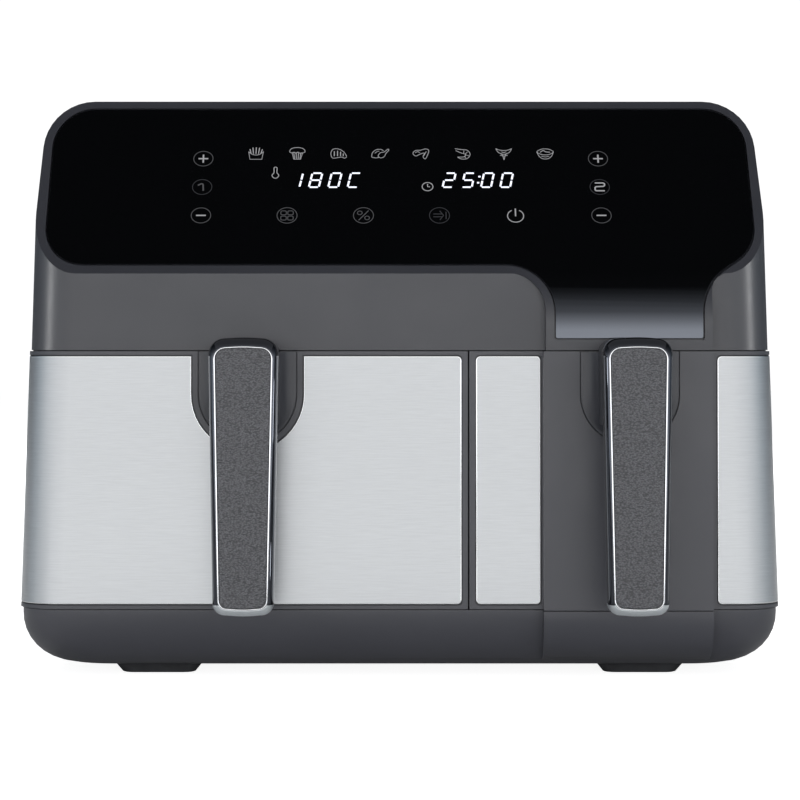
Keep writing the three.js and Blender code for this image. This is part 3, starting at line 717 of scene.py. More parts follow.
def make_screw(i, x, z):
    profile = [(0.01, 0.9), (1.0, 0.8), (1.5, 0.15), (3.2, 0.02), (3.6, 0.25)]
    profile += [(3.6, 0.4), (1.7, 0.5), (1.7, 5.8), (0.01, 5.8)]
    head = turned(f"screw_{i}", [(r, REAR - deep) for r, deep in profile], x, z, 24)
    soften(head, 0)
    dress(head, "bright", "housing", "bright_steel", f"rear_screw_{i}")


def make_foot(end, side, x, y):
    rings = []
    for z, shrink in ((BASE_Z - 0.3, 0), (1.0, 3.4), (0.35, 3.9), (0.0, 4.8)):
        ring = rectangle((x - 24 + shrink, x + 24 - shrink), (y - 11 + shrink / 2, y + 11 - shrink / 2), 6)
        rings.append([(px, py, z) for px, py in ring])
    foot = loft(f"rubber_foot_{end}_{side}", rings)
    soften(foot, 0)
    dress(foot, "rubber", "housing", "foot_rubber", f"foot_{end}_{side}")


def make_panel():
    panel = keep(prism_y(panel_outline(), FRONT - 60, REAR), slab_behind(0, PANEL_THICK, 150))
    panel.name = "touch_panel"
    soften(panel, 0.5, 40)
    dress(panel, "glass", "housing", "panel_glass", "control_panel")


# ------------------------------------------------------------------ what shows on the panel
def smooth_path(points, closed=False, steps=5):
    """A Catmull-Rom curve through points."""
    count = len(points)
    at = (lambda i: points[i % count]) if closed else (lambda i: points[min(max(i, 0), count - 1)])
    path = []
    for i in range(count if closed else count - 1):
        a, b, c, d = (Vector(at(i + k)) for k in (-1, 0, 1, 2))
        for s in range(steps):
            t = s / steps
            square = (2 * a - 5 * b + 4 * c - d) * t * t
            cube = (3 * b - a - 3 * c + d) * t**3
            path.append(tuple(0.5 * (2 * b + (c - a) * t + square + cube)))
    if not closed:
        path.append(tuple(points[-1]))
    return path


def on_panel(x0, z0, u, v, lift):
    """A point of the sloping panel, from a mark's centre and a place within it."""
    z = z0 + v * cos(TILT)
    return (x0 + u, slope_y(z) - lift * cos(TILT), z + lift * sin(TILT))


class Marks:
    """Thin printed or lit strokes, gathered into one mesh."""

    def __init__(self):
        self.points = []
        self.faces = []

    def stroke(self, x0, z0, path, width, closed=False):
        n = len(path)
        sides = []
        for i, here in enumerate(path):
            before = path[(i - 1) % n] if closed or i else here
            after = path[(i + 1) % n] if closed or i < n - 1 else here
            along = (Vector(after) - Vector(before)).normalized()
            across = Vector((-along.y, along.x)) * width / 2
            sides.append((Vector(here) + across, Vector(here) - across))
        start = len(self.points)
        for left, right in sides:
            for (u, v), lift in ((left, 0.07), (right, 0.07), (right, 0.02), (left, 0.02)):
                self.points.append(on_panel(x0, z0, u, v, lift))
        for i in range(n if closed else n - 1):
            a = start + 4 * i
            b = start + 4 * ((i + 1) % n)
            for k in range(4):
                m = (k + 1) % 4
                self.faces.append((a + k, a + m, b + m, b + k))
        if not closed:
            self.faces.append(tuple(start + k for k in range(4)))
            self.faces.append(tuple(start + 4 * (n - 1) + k for k in range(4)))

    def draw(self, x0, z0, strokes):
        """Strokes of (kind, width, points): a line is straight, a curve and a loop are smooth."""
        for kind, width, points in strokes:
            closed = kind == "loop"
            path = points if kind == "line" else smooth_path(points, closed)
            self.stroke(x0, z0, path, width, closed)

    def circle(self, x0, z0, radius, width, centre=(0, 0), start=0.0, end=360.0):
        whole = end - start >= 360
        count = 40 if radius > 3 else 18
        turns = np.radians(np.linspace(start, end, count, endpoint=not whole))
        path = [(centre[0] + radius * cos(t), centre[1] + radius * sin(t)) for t in turns]
        self.stroke(x0, z0, path, width, closed=whole)

    def finish(self, name, look):
        dress(new_object(name, self.points, self.faces), look, "housing", "display")


# Seven-segment digits: the strokes of each, by letter from the top clockwise, then the middle.
SEGMENTS = {
    "a": ((0, 2), (1, 2)), "b": ((1, 2), (1, 1)), "c": ((1, 1), (1, 0)), "d": ((0, 0), (1, 0)),
    "e": ((0, 1), (0, 0)), "f": ((0, 2), (0, 1)), "g": ((0, 1), (1, 1)),
}
DIGITS = {"0": "abcdef", "1": "bc", "2": "abged", "5": "afgcd", "8": "abcdefg", "C": "afed"}
CELL = (5.5, 5.05)
DIGIT_SLANT = 0.19


def write_digit(marks, x, z, letter):
    for name in DIGITS[letter]:
        start, end = (Vector((a * CELL[0], b * CELL[1])) for a, b in SEGMENTS[name])
        trim = (end - start).normalized() * 0.5
        start, end = start + trim, end - trim
        path = [(p.x + p.y * DIGIT_SLANT, p.y) for p in (start, start.lerp(end, 0.5), end)]
        marks.stroke(x, z, path, 1.0)


THIN = 0.34
CHIPS = [
    ("line", THIN, [(-4.1, 1.4), (-3.3, -4.2), (3.3, -4.2), (4.1, 1.4)]),
    ("curve", THIN, [(-4.1, 1.4), (-2.2, -0.5), (0, -1.1), (2.2, -0.5), (4.1, 1.4)]),
]
for foot, u, v in ((-2.7, -3.4, 3.2), (-1.4, -1.8, 4.3), (0, 0.1, 4.5), (1.4, 1.9, 4.2), (2.7, 3.5, 3.1)):
    CHIPS.append(("line", 0.5, [(foot, -0.2), (u, v)]))
MUFFIN = [
    ("curve", THIN, [(-2.8, 0.3), (-4.3, 1.3), (-3.2, 3.6), (0, 4.4), (3.2, 3.6), (4.3, 1.3), (2.8, 0.3)]),
    ("line", THIN, [(-2.9, 0.5), (-1.9, -4.2), (1.9, -4.2), (2.9, 0.5)]),
    ("curve", 0.42, [(-2.8, 0.5), (-1.6, 0.9), (-0.8, 0.2), (0.2, 1), (1.2, 0.3), (2.8, 0.5)]),
    *[("line", 0.42, [(u * 1.3, 0.2), (u, -3.9)]) for u in (-1.5, -0.5, 0.5, 1.5)],
]
LOAF_TOP = [(-3.9, -2.4), (-4.3, 0.5), (-3, 3.2), (0, 3.3), (3, 1)]
LOAF = [
    ("loop", THIN, LOAF_TOP + [(4.4, -2.2), (3.2, -3.4), (1.6, -2.6), (-2.6, -3.4)]),
    *[("line", 0.5, [(u, top), (u, -1.9)]) for u, top in ((-2.4, 1.6), (-0.6, 2.0), (1.1, 1.3), (2.6, 0))],
]
BIRD_LEG = [(-1, -1.8), (0.2, 0.55), (2.4, 1.2), (4.4, 3.2), (4.9, 2.4), (3.4, 0.2), (2.4, -2.2), (0.4, -3.2)]
BIRD = [
    ("curve", THIN, [(-4.6, -2.6), (-4.2, 0.5), (-2, 2.8), (0.6, 3), (2, 2.0)]),
    ("curve", THIN, [(-4.6, -2.6), (-2.4, -3.2), (-0.6, -2.8)]),
    ("loop", THIN, BIRD_LEG),
    ("curve", 0.3, [(-2.8, 0.2), (-1.6, 1.4), (-0.4, 1.8)]),
]
FIRST_STICK = [(-4.6, 0), (-3.2, 2.2), (-0.4, 2.4), (2.4, 3.4), (4.2, 2.2), (3.4, -1.4)]
DRUMSTICKS = [
    ("loop", THIN, FIRST_STICK + [(2.2, -3.9), (1, -2.4), (1.8, 0.3), (-0.6, -0.4), (-3, -1.8)]),
    ("curve", THIN, [(-3.4, 0.55), (-2, 1.4), (-0.8, 0.55)]),
    ("line", THIN, [(1.4, -1.6), (2.8, 1.4)]),
]
PRAWN_RINGS = ((0.8, 2.4, 0.6, 0.2), (2.8, 1.2, 1.4, -0.4), (3.4, -1.6, 1.6, -1), (1.8, -3.4, 1, -1.8))
PRAWN = [
    ("curve", THIN, [(-4.2, 3.6), (-1.2, 3), (2.6, 2.4), (4.2, -0.6), (2.6, -3.6), (-0.6, -4), (-2.8, -2.6)]),
    ("curve", THIN, [(-3.8, 2.2), (-1, 0.5), (1.6, -0.6), (0.8, -2.4), (-2.8, -2.6)]),
    *[("line", 0.3, [ring[:2], ring[2:]]) for ring in PRAWN_RINGS],
]
FISH_TAIL = [
    ("curve", THIN, [(-4.4, 3.6), (-2.6, 2.6), (0, 2.2), (2.6, 2.6), (4.4, 3.6)]),
    *[("curve", THIN, [(4.4 * s, 3.6), (3.2 * s, 1), (s, -0.8), (0, -4.6)]) for s in (-1, 1)],
]
for v in (0.9, -0.4, -1.6):
    half = 1.6 - v * 0.3
    FISH_TAIL.append(("curve", THIN, [(-half, v + 0.4), (0, v - 0.2), (half, v + 0.4)]))
BOWL_RIM = [(-4.6, 1.2), (-2.4, 3), (0, 3.4), (2.4, 3), (4.6, 1.2), (2.4, -0.6), (0, -1), (-2.4, -0.6)]
BOWL = [
    ("loop", THIN, BOWL_RIM),
    ("curve", THIN, [(-4.6, 1.0), (-3.4, -2), (-1.4, -3.8), (1.4, -3.8), (3.4, -2), (4.6, 1.0)]),
    ("curve", 0.42, [(-2.8, 0.9), (-1, 2.2), (0.4, 1.2), (2.8, 1)]),
    ("curve", 0.3, [(-2.2, -1.9), (0, -2.5), (2.2, -1.9)]),
]
PROGRAMMES = [CHIPS, MUFFIN, LOAF, BIRD, DRUMSTICKS, PRAWN, FISH_TAIL, BOWL]
MINUS = [("line", 0.85, [(-2.7, 0), (2.7, 0)])]
PLUS = MINUS + [("line", 0.85, [(0, -2.9), (0, 2.9)])]
CLOCK_HANDS = [("line", 0.5, [(0, 1.9), (0, 0), (1.3, -0.2)])]
ARROW = [
    *[("line", 0.5, [(-3.4, v), (1.6, v)]) for v in (-1.0, 1.0)],
    ("line", 0.5, [(0.2, 3.2), (2.2, 0), (0.2, -3.2)]),
    ("line", 0.5, [(3.6, 2.6), (3.6, -2.6)]),
]
BULB = [(-0.8, 4.2), (0.8, 4.2), (0.8, 0.6), (1.9, -1.2)]
BULB += [(0.9, -3.2), (-0.9, -3.2), (-1.9, -1.2), (-0.8, 0.6)]
TWO = [(-2.6, 2.9), (2.7, 2.9, 1.0), (2.7, 0.5, 1.0), (-2.6, 0.2, 1.0), (-2.6, -2.7, 0.9), (2.7, -2.7)]

# Where the marks sit on the slope, as (x, height)
DIGITS_Z = 267.3
DIGIT_RUNS = (("180C", -60.7, 10.7), ("2500", 23.9, 10.6))  # text, start and pitch
COLUMNS = (-108.9, 110.7)
ROWS = (283.8, 267.4, 251.2)
PROGRAMMES_AT = (-79.7, 286.8)
PROGRAMME_PITCH = 23.02
THERMOMETER_AT = (-68.6, 275.2)
CLOCK_AT = (15.6, 267.6)
POWER_AT = (63.6, 250.9)
SQUARES_AT, PERCENT_AT, ARROW_AT = ((x, ROWS[2]) for x in (-61.7, -19.8, 21.9))


def make_digits():
    digits = Marks()
    for word, x, pitch in DIGIT_RUNS:
        for i, letter in enumerate(word):
            write_digit(digits, x + pitch * i, DIGITS_Z, letter)
    for v in (3.2, 7.6):
        slant = v * DIGIT_SLANT
        digits.stroke(43.0, DIGITS_Z, [(slant - 0.6, v), (slant + 0.6, v)], 1.1)
    digits.finish("lit_digits", "digits")


def make_symbols():
    bright = Marks()
    dim = Marks()
    faint = Marks()
    for x in COLUMNS:
        bright.draw(x, ROWS[0], PLUS)
        bright.draw(x, ROWS[2], MINUS)
        for ink, z in zip((dim, dim, faint), (ROWS[0], ROWS[2], ROWS[1])):
            ink.circle(x, z, 5.35, 0.38)
    dim.stroke(COLUMNS[0], ROWS[1], rounded([(-2.4, 1.2), (0.4, 2.9, 0.8), (0.7, -2.7)], 4), 0.85)
    bright.stroke(COLUMNS[1], ROWS[1], rounded(TWO, 5), 0.8)
    for i, food in enumerate(PROGRAMMES):
        bright.draw(PROGRAMMES_AT[0] + PROGRAMME_PITCH * i, PROGRAMMES_AT[1], food)

    bright.stroke(*THERMOMETER_AT, smooth_path(BULB, True, 3), 0.45, True)
    bright.circle(*CLOCK_AT, 3.0, 0.45)
    bright.draw(*CLOCK_AT, CLOCK_HANDS)
    bright.circle(*POWER_AT, 4.4, 0.5, start=118, end=422)
    bright.stroke(*POWER_AT, [(0, -0.2), (0, 5.2)], 0.7)

    dim.circle(*SQUARES_AT, 5.5, 0.4)
    square = rectangle((-1.5, 1.5), (-1.4, 1.4), 0.7, 2)
    for u, v in ((-1.9, 1.8), (1.9, 1.8), (-1.9, -1.9), (1.9, -1.9)):
        dim.stroke(*SQUARES_AT, [(a + u, b + v) for a, b in square], 0.42, True)
    dim.circle(*PERCENT_AT, 5.5, 0.4)
    dim.stroke(*PERCENT_AT, [(-2.6, -3.4), (2.8, 3.4)], 0.5)
    dim.circle(*PERCENT_AT, 1.3, 0.42, (-2.0, 1.8))
    dim.circle(*PERCENT_AT, 1.3, 0.42, (2.0, -1.8))
    faint.circle(*ARROW_AT, 5.5, 0.4)
    faint.draw(*ARROW_AT, ARROW)

    bright.finish("lit_symbols", "symbols")
    dim.finish("dim_symbols", "symbols_dim")
    faint.finish("faint_symbols", "symbols_faint")


# ------------------------------------------------------------------ drawers
def front_block(side, depth, deeper=0):
    """A drawer front's form, this far inside its faces."""
    levels = [BASE_TOP + 0.5 + depth, 60, 85, 110, 135, 155, DRAWER_TOP - 0.15 - depth]
    block = body_block(levels, PROUD - depth, 14)
    joint = depth + GAP
    x = (-FAR, SPLIT_X - joint) if side == "left" else (SPLIT_X + joint, FAR)
    keep(block, box(x, (-FAR, SEAM_Y + deeper), (0, FAR)))
    if side == "left":
        return block
    face = BAND["right"] - depth
    low, high = levels[0], levels[-1]
    line = [(front_y(high) - face, high), (FRONT + 12, high), (FRONT + 12, low), (front_y(low) - face, low)]
    return add(block, prism_x(line, BAND_X[0] + depth, BAND_X[1] - depth))


def face_y(side, z):
    return front_y(z) - BAND[side]


def skin(side, outline, near, far):
    """A layer of a drawer front between two depths, inside an outline."""
    layer = cut(front_block(side, near), front_block(side, far, 1))
    return keep(layer, prism_y(outline, -FAR, SEAM_Y - 5))


def pad_outline(side, radius, top):
    """A U, round at the bottom."""
    x = HANDLE_X[side]
    return [(x - radius, top), *arc(x, PAD_Z, radius, pi, 2 * pi, 24), (x + radius, top)]


def steel_skin(side, x, grow, near, far):
    """What a steel plate takes up, or with growth the pocket that it sits in."""
    z = (STEEL_Z[0] - grow, STEEL_Z[1] + grow)
    layer = skin(side, rectangle((x[0] - grow, x[1] + grow), z, 2.4, 5), near, far)
    if side == "left":
        cut(layer, prism_y(pad_outline(side, NOTCH_R - grow, 200), -FAR, -100))
    return layer


def paint_rim_highlight(plate):
    """The sheared edge is smoother than the brushed face and coloured brighter as a painted highlight; the
    face is brushed level all round.
    """
    mesh = plate.data
    mesh.use_auto_texspace = False
    mesh.texspace_location = (0, 0, 0.1)
    mesh.texspace_size = (0.25, 0.25, 0.25)
    mesh.materials.append(LOOKS["steel_rim"])
    for face in mesh.polygons:
        if face.area < RIM_AREA:
            face.material_index = 1


def make_plates(side):
    for name, x in STEEL_X[side].items():
        plate = steel_skin(side, x, 0, 0, 1.8)
        plate.name = f"steel_plate_{name}"
        soften(plate, 0.62, 40)
        dress(plate, "steel", f"drawer_{side}", "brushed_steel_front", f"steel_panel_{name}")
        paint_rim_highlight(plate)


def make_front(side):
    front = front_block(side, 0)
    for x in STEEL_X[side].values():
        cut(front, steel_skin(side, x, 0.4, -0.5, 2.2))
    pad = prism_y(pad_outline(side, PAD_R + 0.4, 240), -FAR, face_y(side, 150) + 2.4)
    hollow = front_block(side, WALL + 1)
    tail = keep(copied(hollow), box(ACROSS, (SEAM_Y - 6, SEAM_Y), (0, FAR)))
    cut(front, [pad, hollow, moved_back(tail, 6)])
    front.name = f"front_{side}"
    soften(front, 0.5, 32)
    dress(front, "drawer", f"drawer_{side}", "housing_plastic", f"drawer_front_{side}")


# ------------------------------------------------------------------ handles
# Sections of a grip's pieces, as (distance in from its outline, depth behind its front)
FRAME_FACE = [(5.5, 3.2), (3.9, 3.2), (3.3, 0.9), (2.95, 0.62), (2.6, 0.66), (2.1, 0.95), (1.5, 1.6)]
FRAME_SIDE = [(0.95, 2.6), (0.5, 3.9), (0.2, 5.4), (0.03, 7.2), (0.0, 9.0), (0.05, 13.5), (0.5, 16.6)]
FRAME_BACK = [(1.6, 18.8), (3.4, 19.8), (5.4, 20.0)]
BEAD_OUTSIDE = [(2.98, 1.2), (2.98, 0.3), (3.06, 0.06), (3.2, 0.0)]
BEAD_INSIDE = [(3.52, 0.0), (3.66, 0.06), (3.74, 0.3), (3.74, 1.2)]
INLAY = [(3.85, 2.8), (3.85, 0.85), (4.0, 0.55), (4.4, 0.36), (5.2, 0.28), (7, 0.2), (10, 0.14)]


def bowed(side, inset):
    """The grip's outline, which tapers downward, with bowed ends and round corners.

    The frame's bevel is wider at the two ends than down the sides.
    """
    x = HANDLE_X[side]
    share = min(max((inset - 0.6) / 2.2, 0), 1)
    widen = share * share * (3 - 2 * share)
    inlaid = inset >= 4
    bow = 0.8 if inlaid else 1.3 - 0.12 * inset

    def end(half, z, radius, out):
        edge = z - out * bow * 0.55
        middle = (x, z + out * bow * 0.45, 0.35 * half * half / bow)
        return [(x + out * half, edge, radius), middle, (x - out * half, edge, radius)]

    low = HANDLE_BOTTOM + inset + 0.5 * widen
    high = HANDLE_TOP - inset - 1.6 * widen
    corners = end(GRIP_HALF_BOTTOM - inset, low, 4.2 if inlaid else 6.4 - 0.55 * inset, -1)
    corners += end(GRIP_HALF_TOP - inset, high, 5.4 if inlaid else 8.4 - 0.75 * inset, 1)
    return rounded(corners, 9)


def grip_y(z, depth):
    return GRIP_Y - (GRIP_LEVEL - z) * GRIP_LEAN + depth


def grip_ring(outline, depth):
    return [(x, grip_y(z, depth), z) for x, z in outline]


def grip_loft(name, side, section, caps=(True, True)):
    return loft(name, [grip_ring(bowed(side, inset), depth) for inset, depth in section], caps)


def make_handle(side):
    """A plated frame, coloured dark above as painted dark reflection and pale bluish at its lip as painted
    reflection of the floor, a bright bead round its front and a grained inlay inside the bead.
    """
    body = f"drawer_{side}"
    grip = grip_loft(f"grip_frame_{side}", side, FRAME_FACE + FRAME_SIDE + FRAME_BACK)
    # the frame is split at LIP_Z: dark above as painted dark reflection, pale below as painted reflection of
    # the floor
    lip = copied(grip)
    keep(grip, box(ACROSS, (-FAR, 0), (LIP_Z + 0.08, FAR)))
    keep(lip, box(ACROSS, (-FAR, 0), (0, LIP_Z - 0.08)))
    soften(grip, 0, smooth=55)
    dress(grip, "chrome_painted_dark_reflection", body, "handle_chrome", f"handle_frame_{side}")
    lip.name = f"grip_lip_painted_reflection_{side}"
    soften(lip, 0, smooth=55)
    dress(lip, "chrome_painted_floor_reflection", body, "handle_chrome")

    bead = grip_loft(f"grip_bead_{side}", side, BEAD_OUTSIDE + BEAD_INSIDE + BEAD_OUTSIDE[:1], (False, False))
    edit(bead.data, lambda work: bmesh.ops.remove_doubles(work, verts=work.verts, dist=0.000001))
    edit(bead.data, face_outward)
    soften(bead, 0, smooth=50)
    dress(bead, "chrome", body, "handle_chrome")

    inlay = grip_loft(f"grip_inlay_{side}", side, INLAY)
    soften(inlay, 0, smooth=50)
    dress(inlay, "leather", body, "grained_inlay", f"handle_inlay_{side}")


def evenly(path, count):
    """Points spaced evenly along a path."""
    lengths = np.cumsum([0, *(dist(a, b) for a, b in zip(path, path[1:]))])
    at = np.linspace(0, lengths[-1], count)
    across, up = zip(*path)
    return list(zip(np.interp(at, lengths, across), np.interp(at, lengths, up)))


def make_root(side):
    """The U-shaped pad in the drawer front, swelling forward into the neck."""
    x = HANDLE_X[side]

    def hung(half, bottom):
        """An outline from the drawer's top, down one side, round the bottom and up again."""
        heights = np.linspace(PAD_TOP, PAD_BEND, 5)
        return [(x - half, z) for z in heights] + bottom + [(x + half, z) for z in reversed(heights)]

    def pad(radius):
        return hung(radius, arc(x, PAD_Z, radius, pi, 2 * pi, 25))

    def neck(half, low):
        corners = rounded([(x - half, 200), (x - half, low, 7), (x + half, low, 7), (x + half, 200)], 9)
        return hung(half, evenly([(x - half, PAD_Z), *corners[1:-1], (x + half, PAD_Z)], 25))

    def on_face(outline, depth):
        return [(px, face_y(side, pz) + depth, pz) for px, pz in outline]

    start = pad(PAD_R - 0.3)
    end = neck(15.5, 134)
    rings = [[(px, face_y(side, 150) + 2, pz) for px, pz in pad(PAD_R)]]
    rings += [on_face(pad(PAD_R), 0.4), on_face(start, 0.1)]
    for share in (0.08, 0.25, 0.45, 0.64, 0.8, 0.91, 0.97, 1.0):
        between = [(ax + (bx - ax) * share, az + (bz - az) * share) for (ax, az), (bx, bz) in zip(start, end)]
        rings.append(on_face(between, 0.1 - 9.0 * share**2.4))
    rings.append(grip_ring(end, GRIP_DEEP))
    root = loft(f"grip_root_{side}", rings)
    blocks = [grip_ring(bowed(side, 0.6), GRIP_DEEP)]
    for inset, back in ((0.6, 4.5), (0.9, 2.4), (1.7, 0.8), (3.0, 0)):
        blocks.append([(px, SHOULDER_Y - back, pz) for px, pz in bowed(side, inset)])
    shoulder = loft("shoulder", blocks)
    keep(shoulder, box((x - 40, x + 40), (-FAR, 0), (138, FAR)))
    add(root, shoulder)
    soften(root, 0, smooth=48)
    dress(root, "housing", f"drawer_{side}", "housing_plastic", f"handle_root_{side}")


# ------------------------------------------------------------------ baskets and trays
# A basket's wall, from outside below over the rim to inside below, as (distance in, height)
BASKET_OUTSIDE = [(14, 44.0), (7, 44.15), (3.2, 45.2), (1, 47.6), (0, 51), (0, 157.4)]
BASKET_RIM = [(-0.7, 158.1), (-2.3, 158.2), (-3, 158.7), (-2.9, 159.5), (-2.2, 160), (0.2, 160), (1.1, 159.6)]
BASKET_INSIDE = [(1.3, 158.6), (1.3, 51.2), (2.2, 48.4), (4.2, 46.3), (7.4, 45.35), (14, 45.3)]


def make_basket(side):
    """A pan with a turned-out rim, except at the front, where it meets the drawer front."""
    (x0, x1), (y0, y1) = BASKETS[side], BASKET_Y
    rings = []
    for inset, z in BASKET_OUTSIDE + BASKET_RIM + BASKET_INSIDE:
        x, y = (x0 + inset, x1 - inset), (y0 + max(inset, 0), y1 - inset)
        rings.append([(px, py, z) for px, py in rectangle(x, y, max(BASKET_R - inset, 3), 9)])
    basket = loft(f"pan_{side}", rings)
    soften(basket, 0, smooth=60)
    dress(basket, "coating", f"drawer_{side}", "nonstick_coating", f"basket_{side}")


def make_crisper(side):
    (x0, x1), (y0, y1) = BASKETS[side], BASKET_Y
    plate = prism_z(rectangle((x0 + 6, x1 - 6), (y0 + 6, y1 - 6), 14), 60, 61.6)
    slots = []
    columns = round((x1 - x0 - 70) / 22)
    for i in range(columns):
        x = (x0 + x1) / 2 + (i - (columns - 1) / 2) * 22
        for j in range(4):
            y = (y0 + y1) / 2 + (j - 1.5) * 46
            slots.append(prism_z(rectangle((x - 3, x + 3), (y - 16, y + 16), 2.9, 5), 50, 70))
    cut(plate, slots)
    for x in (x0 + 26, x1 - 26):
        for y in (y0 + 26, y1 - 26):
            add(plate, prism_z(circle(x, y, 3.4, 24), 46, 61.2))
    plate.name = f"tray_{side}"
    soften(plate, 0.35, 40)
    dress(plate, "coating", f"crisper_{side}", "nonstick_coating", f"crisper_plate_{side}")


def make_buffer(side, end):
    """A rubber block slotted over an edge of the crisper plate."""
    middle = sum(BASKETS[side]) / 2
    y, inward = (BASKET_Y[0] + 4.2, 1) if end == "front" else (BASKET_Y[1] - 4.2, -1)
    reach = sorted((y - 2 * inward, y + 7 * inward))
    body = prism_x(rectangle(reach, (57, 64.6), 1.6, 5), middle - 14, middle + 14)
    slot = sorted((y + 1.4 * inward, 400 * inward))
    cut(body, box((middle - 20, middle + 20), slot, (59.6, 62)))
    body.name = f"tray_buffer_{side}_{end}"
    soften(body, 0.5)
    dress(body, "silicone", f"crisper_{side}", "silicone", f"crisper_buffer_{side}_{end}")


# ------------------------------------------------------------------ the working parts inside
def polish(node, look):
    """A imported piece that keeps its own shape, with softened edges and a finish."""
    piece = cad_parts[node]
    piece.data.materials.clear()
    piece.data.materials.append(LOOKS[look])
    for face in piece.data.polygons:
        face.use_smooth = True
    modify(piece, "WELD", merge_threshold=0.00001)
    modify(piece, "BEVEL", width=0.00035, segments=2, limit_method="ANGLE", angle_limit=radians(34))
    modify(piece, "WEIGHTED_NORMAL", weight=60)


INSIDE = {
    "housing_dark": ["front_frame"],
    "board": ["control_board", "power_board"],
    "display": ["display_module"],
}
INSIDE_EACH_SIDE = {
    "housing_dark": ["cooling_fan", "inner_cover"],
    "sheet": ["cavity", "exhaust_duct", "motor_bracket", "hot_fan"],
    "heater": ["heater"],
    "iron": ["motor"],
    "bright": ["motor_shaft", "temperature_probe"],
}
for look, kinds in INSIDE_EACH_SIDE.items():
    INSIDE.setdefault(look, []).extend(f"{kind}_{side}" for side in SIDES for kind in kinds)

make_shell()
make_base()
make_rear_cover()
make_gland()
for i, (x, z) in enumerate(SCREWS):
    make_screw(i + 1, x, z)
for end, y in FEET_Y.items():
    for side, x in FEET_X.items():
        make_foot(end, side, x, y)
make_panel()
make_digits()
make_symbols()
for side in SIDES:
    make_front(side)
    make_plates(side)
    make_root(side)
    make_handle(side)
    make_basket(side)
    make_crisper(side)
    make_buffer(side, "front")
    make_buffer(side, "rear")
for look, nodes in INSIDE.items():
    for node in nodes:
        polish(node, look)

# ------------------------------------------------------------------ floor and light
EDGE = 9000
corners = [(-EDGE, -EDGE, 0), (EDGE, -EDGE, 0), (EDGE, EDGE, 0), (-EDGE, EDGE, 0)]
floor = loft("floor", [corners], (True, False))
floor.data.materials.append(material("floor", paper, (0.9, 0.9, 0.9), 0.9))

world = bpy.data.worlds.new("studio")
bpy.context.scene.world = world
world.use_nodes = True
sky = Wiring(world.node_tree, world.node_tree.nodes["Background"])
split = sky.node("ShaderNodeSeparateXYZ")
sky.link(sky.node("ShaderNodeTexCoord").outputs["Generated"], split.inputs[0])
FADE_UP = [(0.0, 0.85), (0.19, 0.5), (0.37, 0.24), (0.59, 0.1), (0.81, 0.01), (1.0, 0.01)]
height = sky.ramp(split.outputs["Z"], FADE_UP)
turn = sky.node("ShaderNodeMapRange")
turn.inputs["From Min"].default_value = -1
sky.link(split.outputs["Y"], turn.inputs["Value"])
FRONT_TO_BACK = [(0.0, (1, 1, 1)), (0.03, (0.9, 0.9, 0.91)), (0.25, (0.7, 0.72, 0.74))]
FRONT_TO_BACK += [(0.5, (0.3, 0.34, 0.37)), (0.68, (0.13, 0.155, 0.18)), (0.8, (0.06, 0.07, 0.08))]
FRONT_TO_BACK += [(1.0, (0.05, 0.058, 0.066))]
around = sky.ramp(turn.outputs[0], FRONT_TO_BACK)
studio = sky.node("ShaderNodeMix", data_type="RGBA", blend_type="MULTIPLY")
studio.inputs["Factor"].default_value = 1
sky.link(height, studio.inputs["A"])
sky.link(around, studio.inputs["B"])
seen = sky.node("ShaderNodeMix", data_type="RGBA")
sky.link(sky.node("ShaderNodeLightPath").outputs["Is Camera Ray"], seen.inputs["Factor"])
sky.link(studio.outputs["Result"], seen.inputs["A"])
seen.inputs["B"].default_value = (0.4, 0.4, 0.4, 1)
sky.link(seen.outputs["Result"], sky.shader.inputs["Color"])
sky.shader.inputs["Strength"].default_value = 2.7


def softbox(name, place, aim, size, power, mirrored=True):
    light = bpy.data.lights.new(name, "AREA")
    light.shape = "RECTANGLE"
    light.size, light.size_y = size
    light.energy = power
    lamp = placed(name, light)
    lamp.location = place
    lamp.rotation_euler = (Vector(aim) - Vector(place)).to_track_quat("-Z", "Y").to_euler()
    lamp.visible_glossy = mirrored
    return lamp


def receivers(name, pieces):
    """A collection of the pieces that a lamp may light."""
    group = bpy.data.collections.new(f"{name}_receivers")
    for piece in pieces:
        group.objects.link(bpy.data.objects[piece])
    return group


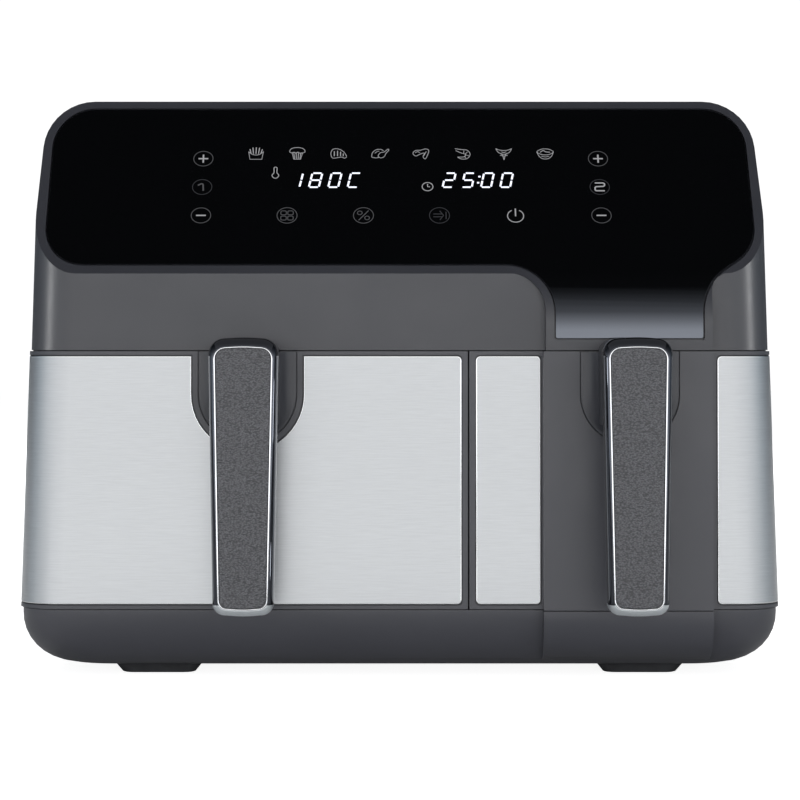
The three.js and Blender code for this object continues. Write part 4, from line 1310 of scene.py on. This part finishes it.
def card(name, place, aim, size, radiance, group):
    """A lamp of a given radiance that only the group mirrors, and that lights nothing else."""
    lamp = softbox(name, place, aim, size, radiance * pi * size[0] * size[1])
    lamp.visible_diffuse = False
    lamp.light_linking.receiver_collection = group
    return lamp


softbox("overhead", (0, 1.4, 2.8), (0, 0.1, 0), (4, 3), 34, mirrored=False)
softbox("front_fill", (0, -2.6, 0.25), (0, 0, 0.15), (2.5, 0.4), 12, mirrored=False)
softbox("rear_fill", (0, 3.2, 1.6), (0, 0, 0.1), (3, 1.6), 60, mirrored=False)

# a fill for the housing's top and back, which the floor and the steel don't see
housing_fill = softbox("housing_fill", (0, 2.6, 2.6), (0, 0.1, 0.15), (3, 2), 60, mirrored=False)
housing_fill.light_linking.receiver_collection = receivers("housing", ["shell", "base", "rear_panel"])

# two narrow strips that only the top housing's rounded corners mirror
strips = receivers("strip", ["shell"])
for side in (-1, 1):
    card(f"strip_{side}", (side * 2.0, -0.7, 0.25), (0, 0, 0.25), (0.2, 1.6), 11.9366, strips)

# a wide, faint card above the grips, which turns the tops of their frames dark grey
hoods = receivers("hood", [f"grip_frame_{side}" for side in SIDES])
card("hood_card", (0, -0.3, 1.2), (0, -0.3, 0), (2.2, 2.2), 0.23, hoods)

# a faint card low in front, which only the satin lips at the foot of the grips mirror
lips = receivers("lip", [f"grip_lip_painted_reflection_{side}" for side in SIDES])
lip_card = card("lip_card", (0, -0.3, 0.003), (0, -0.3, 1), (0.6, 0.6), 0.08, lips)
lip_card.visible_camera = False

# a low card just in front, which evens out the steel plates from top to bottom
plates = receivers("steel", [f"steel_plate_{name}" for side in SIDES for name in STEEL_X[side]])
steel_card = card("steel_card", (0, -0.5, 0.03), (0, 0, 0.03), (1.2, 0.05), 0.65, plates)
steel_card.visible_camera = False

# small cards beside the grips, for crisp glints down their plated frames
frames = {side: receivers(f"card_{side}", [f"grip_frame_{side}"]) for side in SIDES}
GLINTS = (("left", 0.93, 0.147, 0.052), ("left", 0.93, 0.018, 0.028), ("right", -0.88, 0.184, 0.028))
for side, x, z, tall in GLINTS:
    card(f"card_{side}", (x, -0.22, z), (0, -0.22, z), (0.25, tall), 10, frames[side])
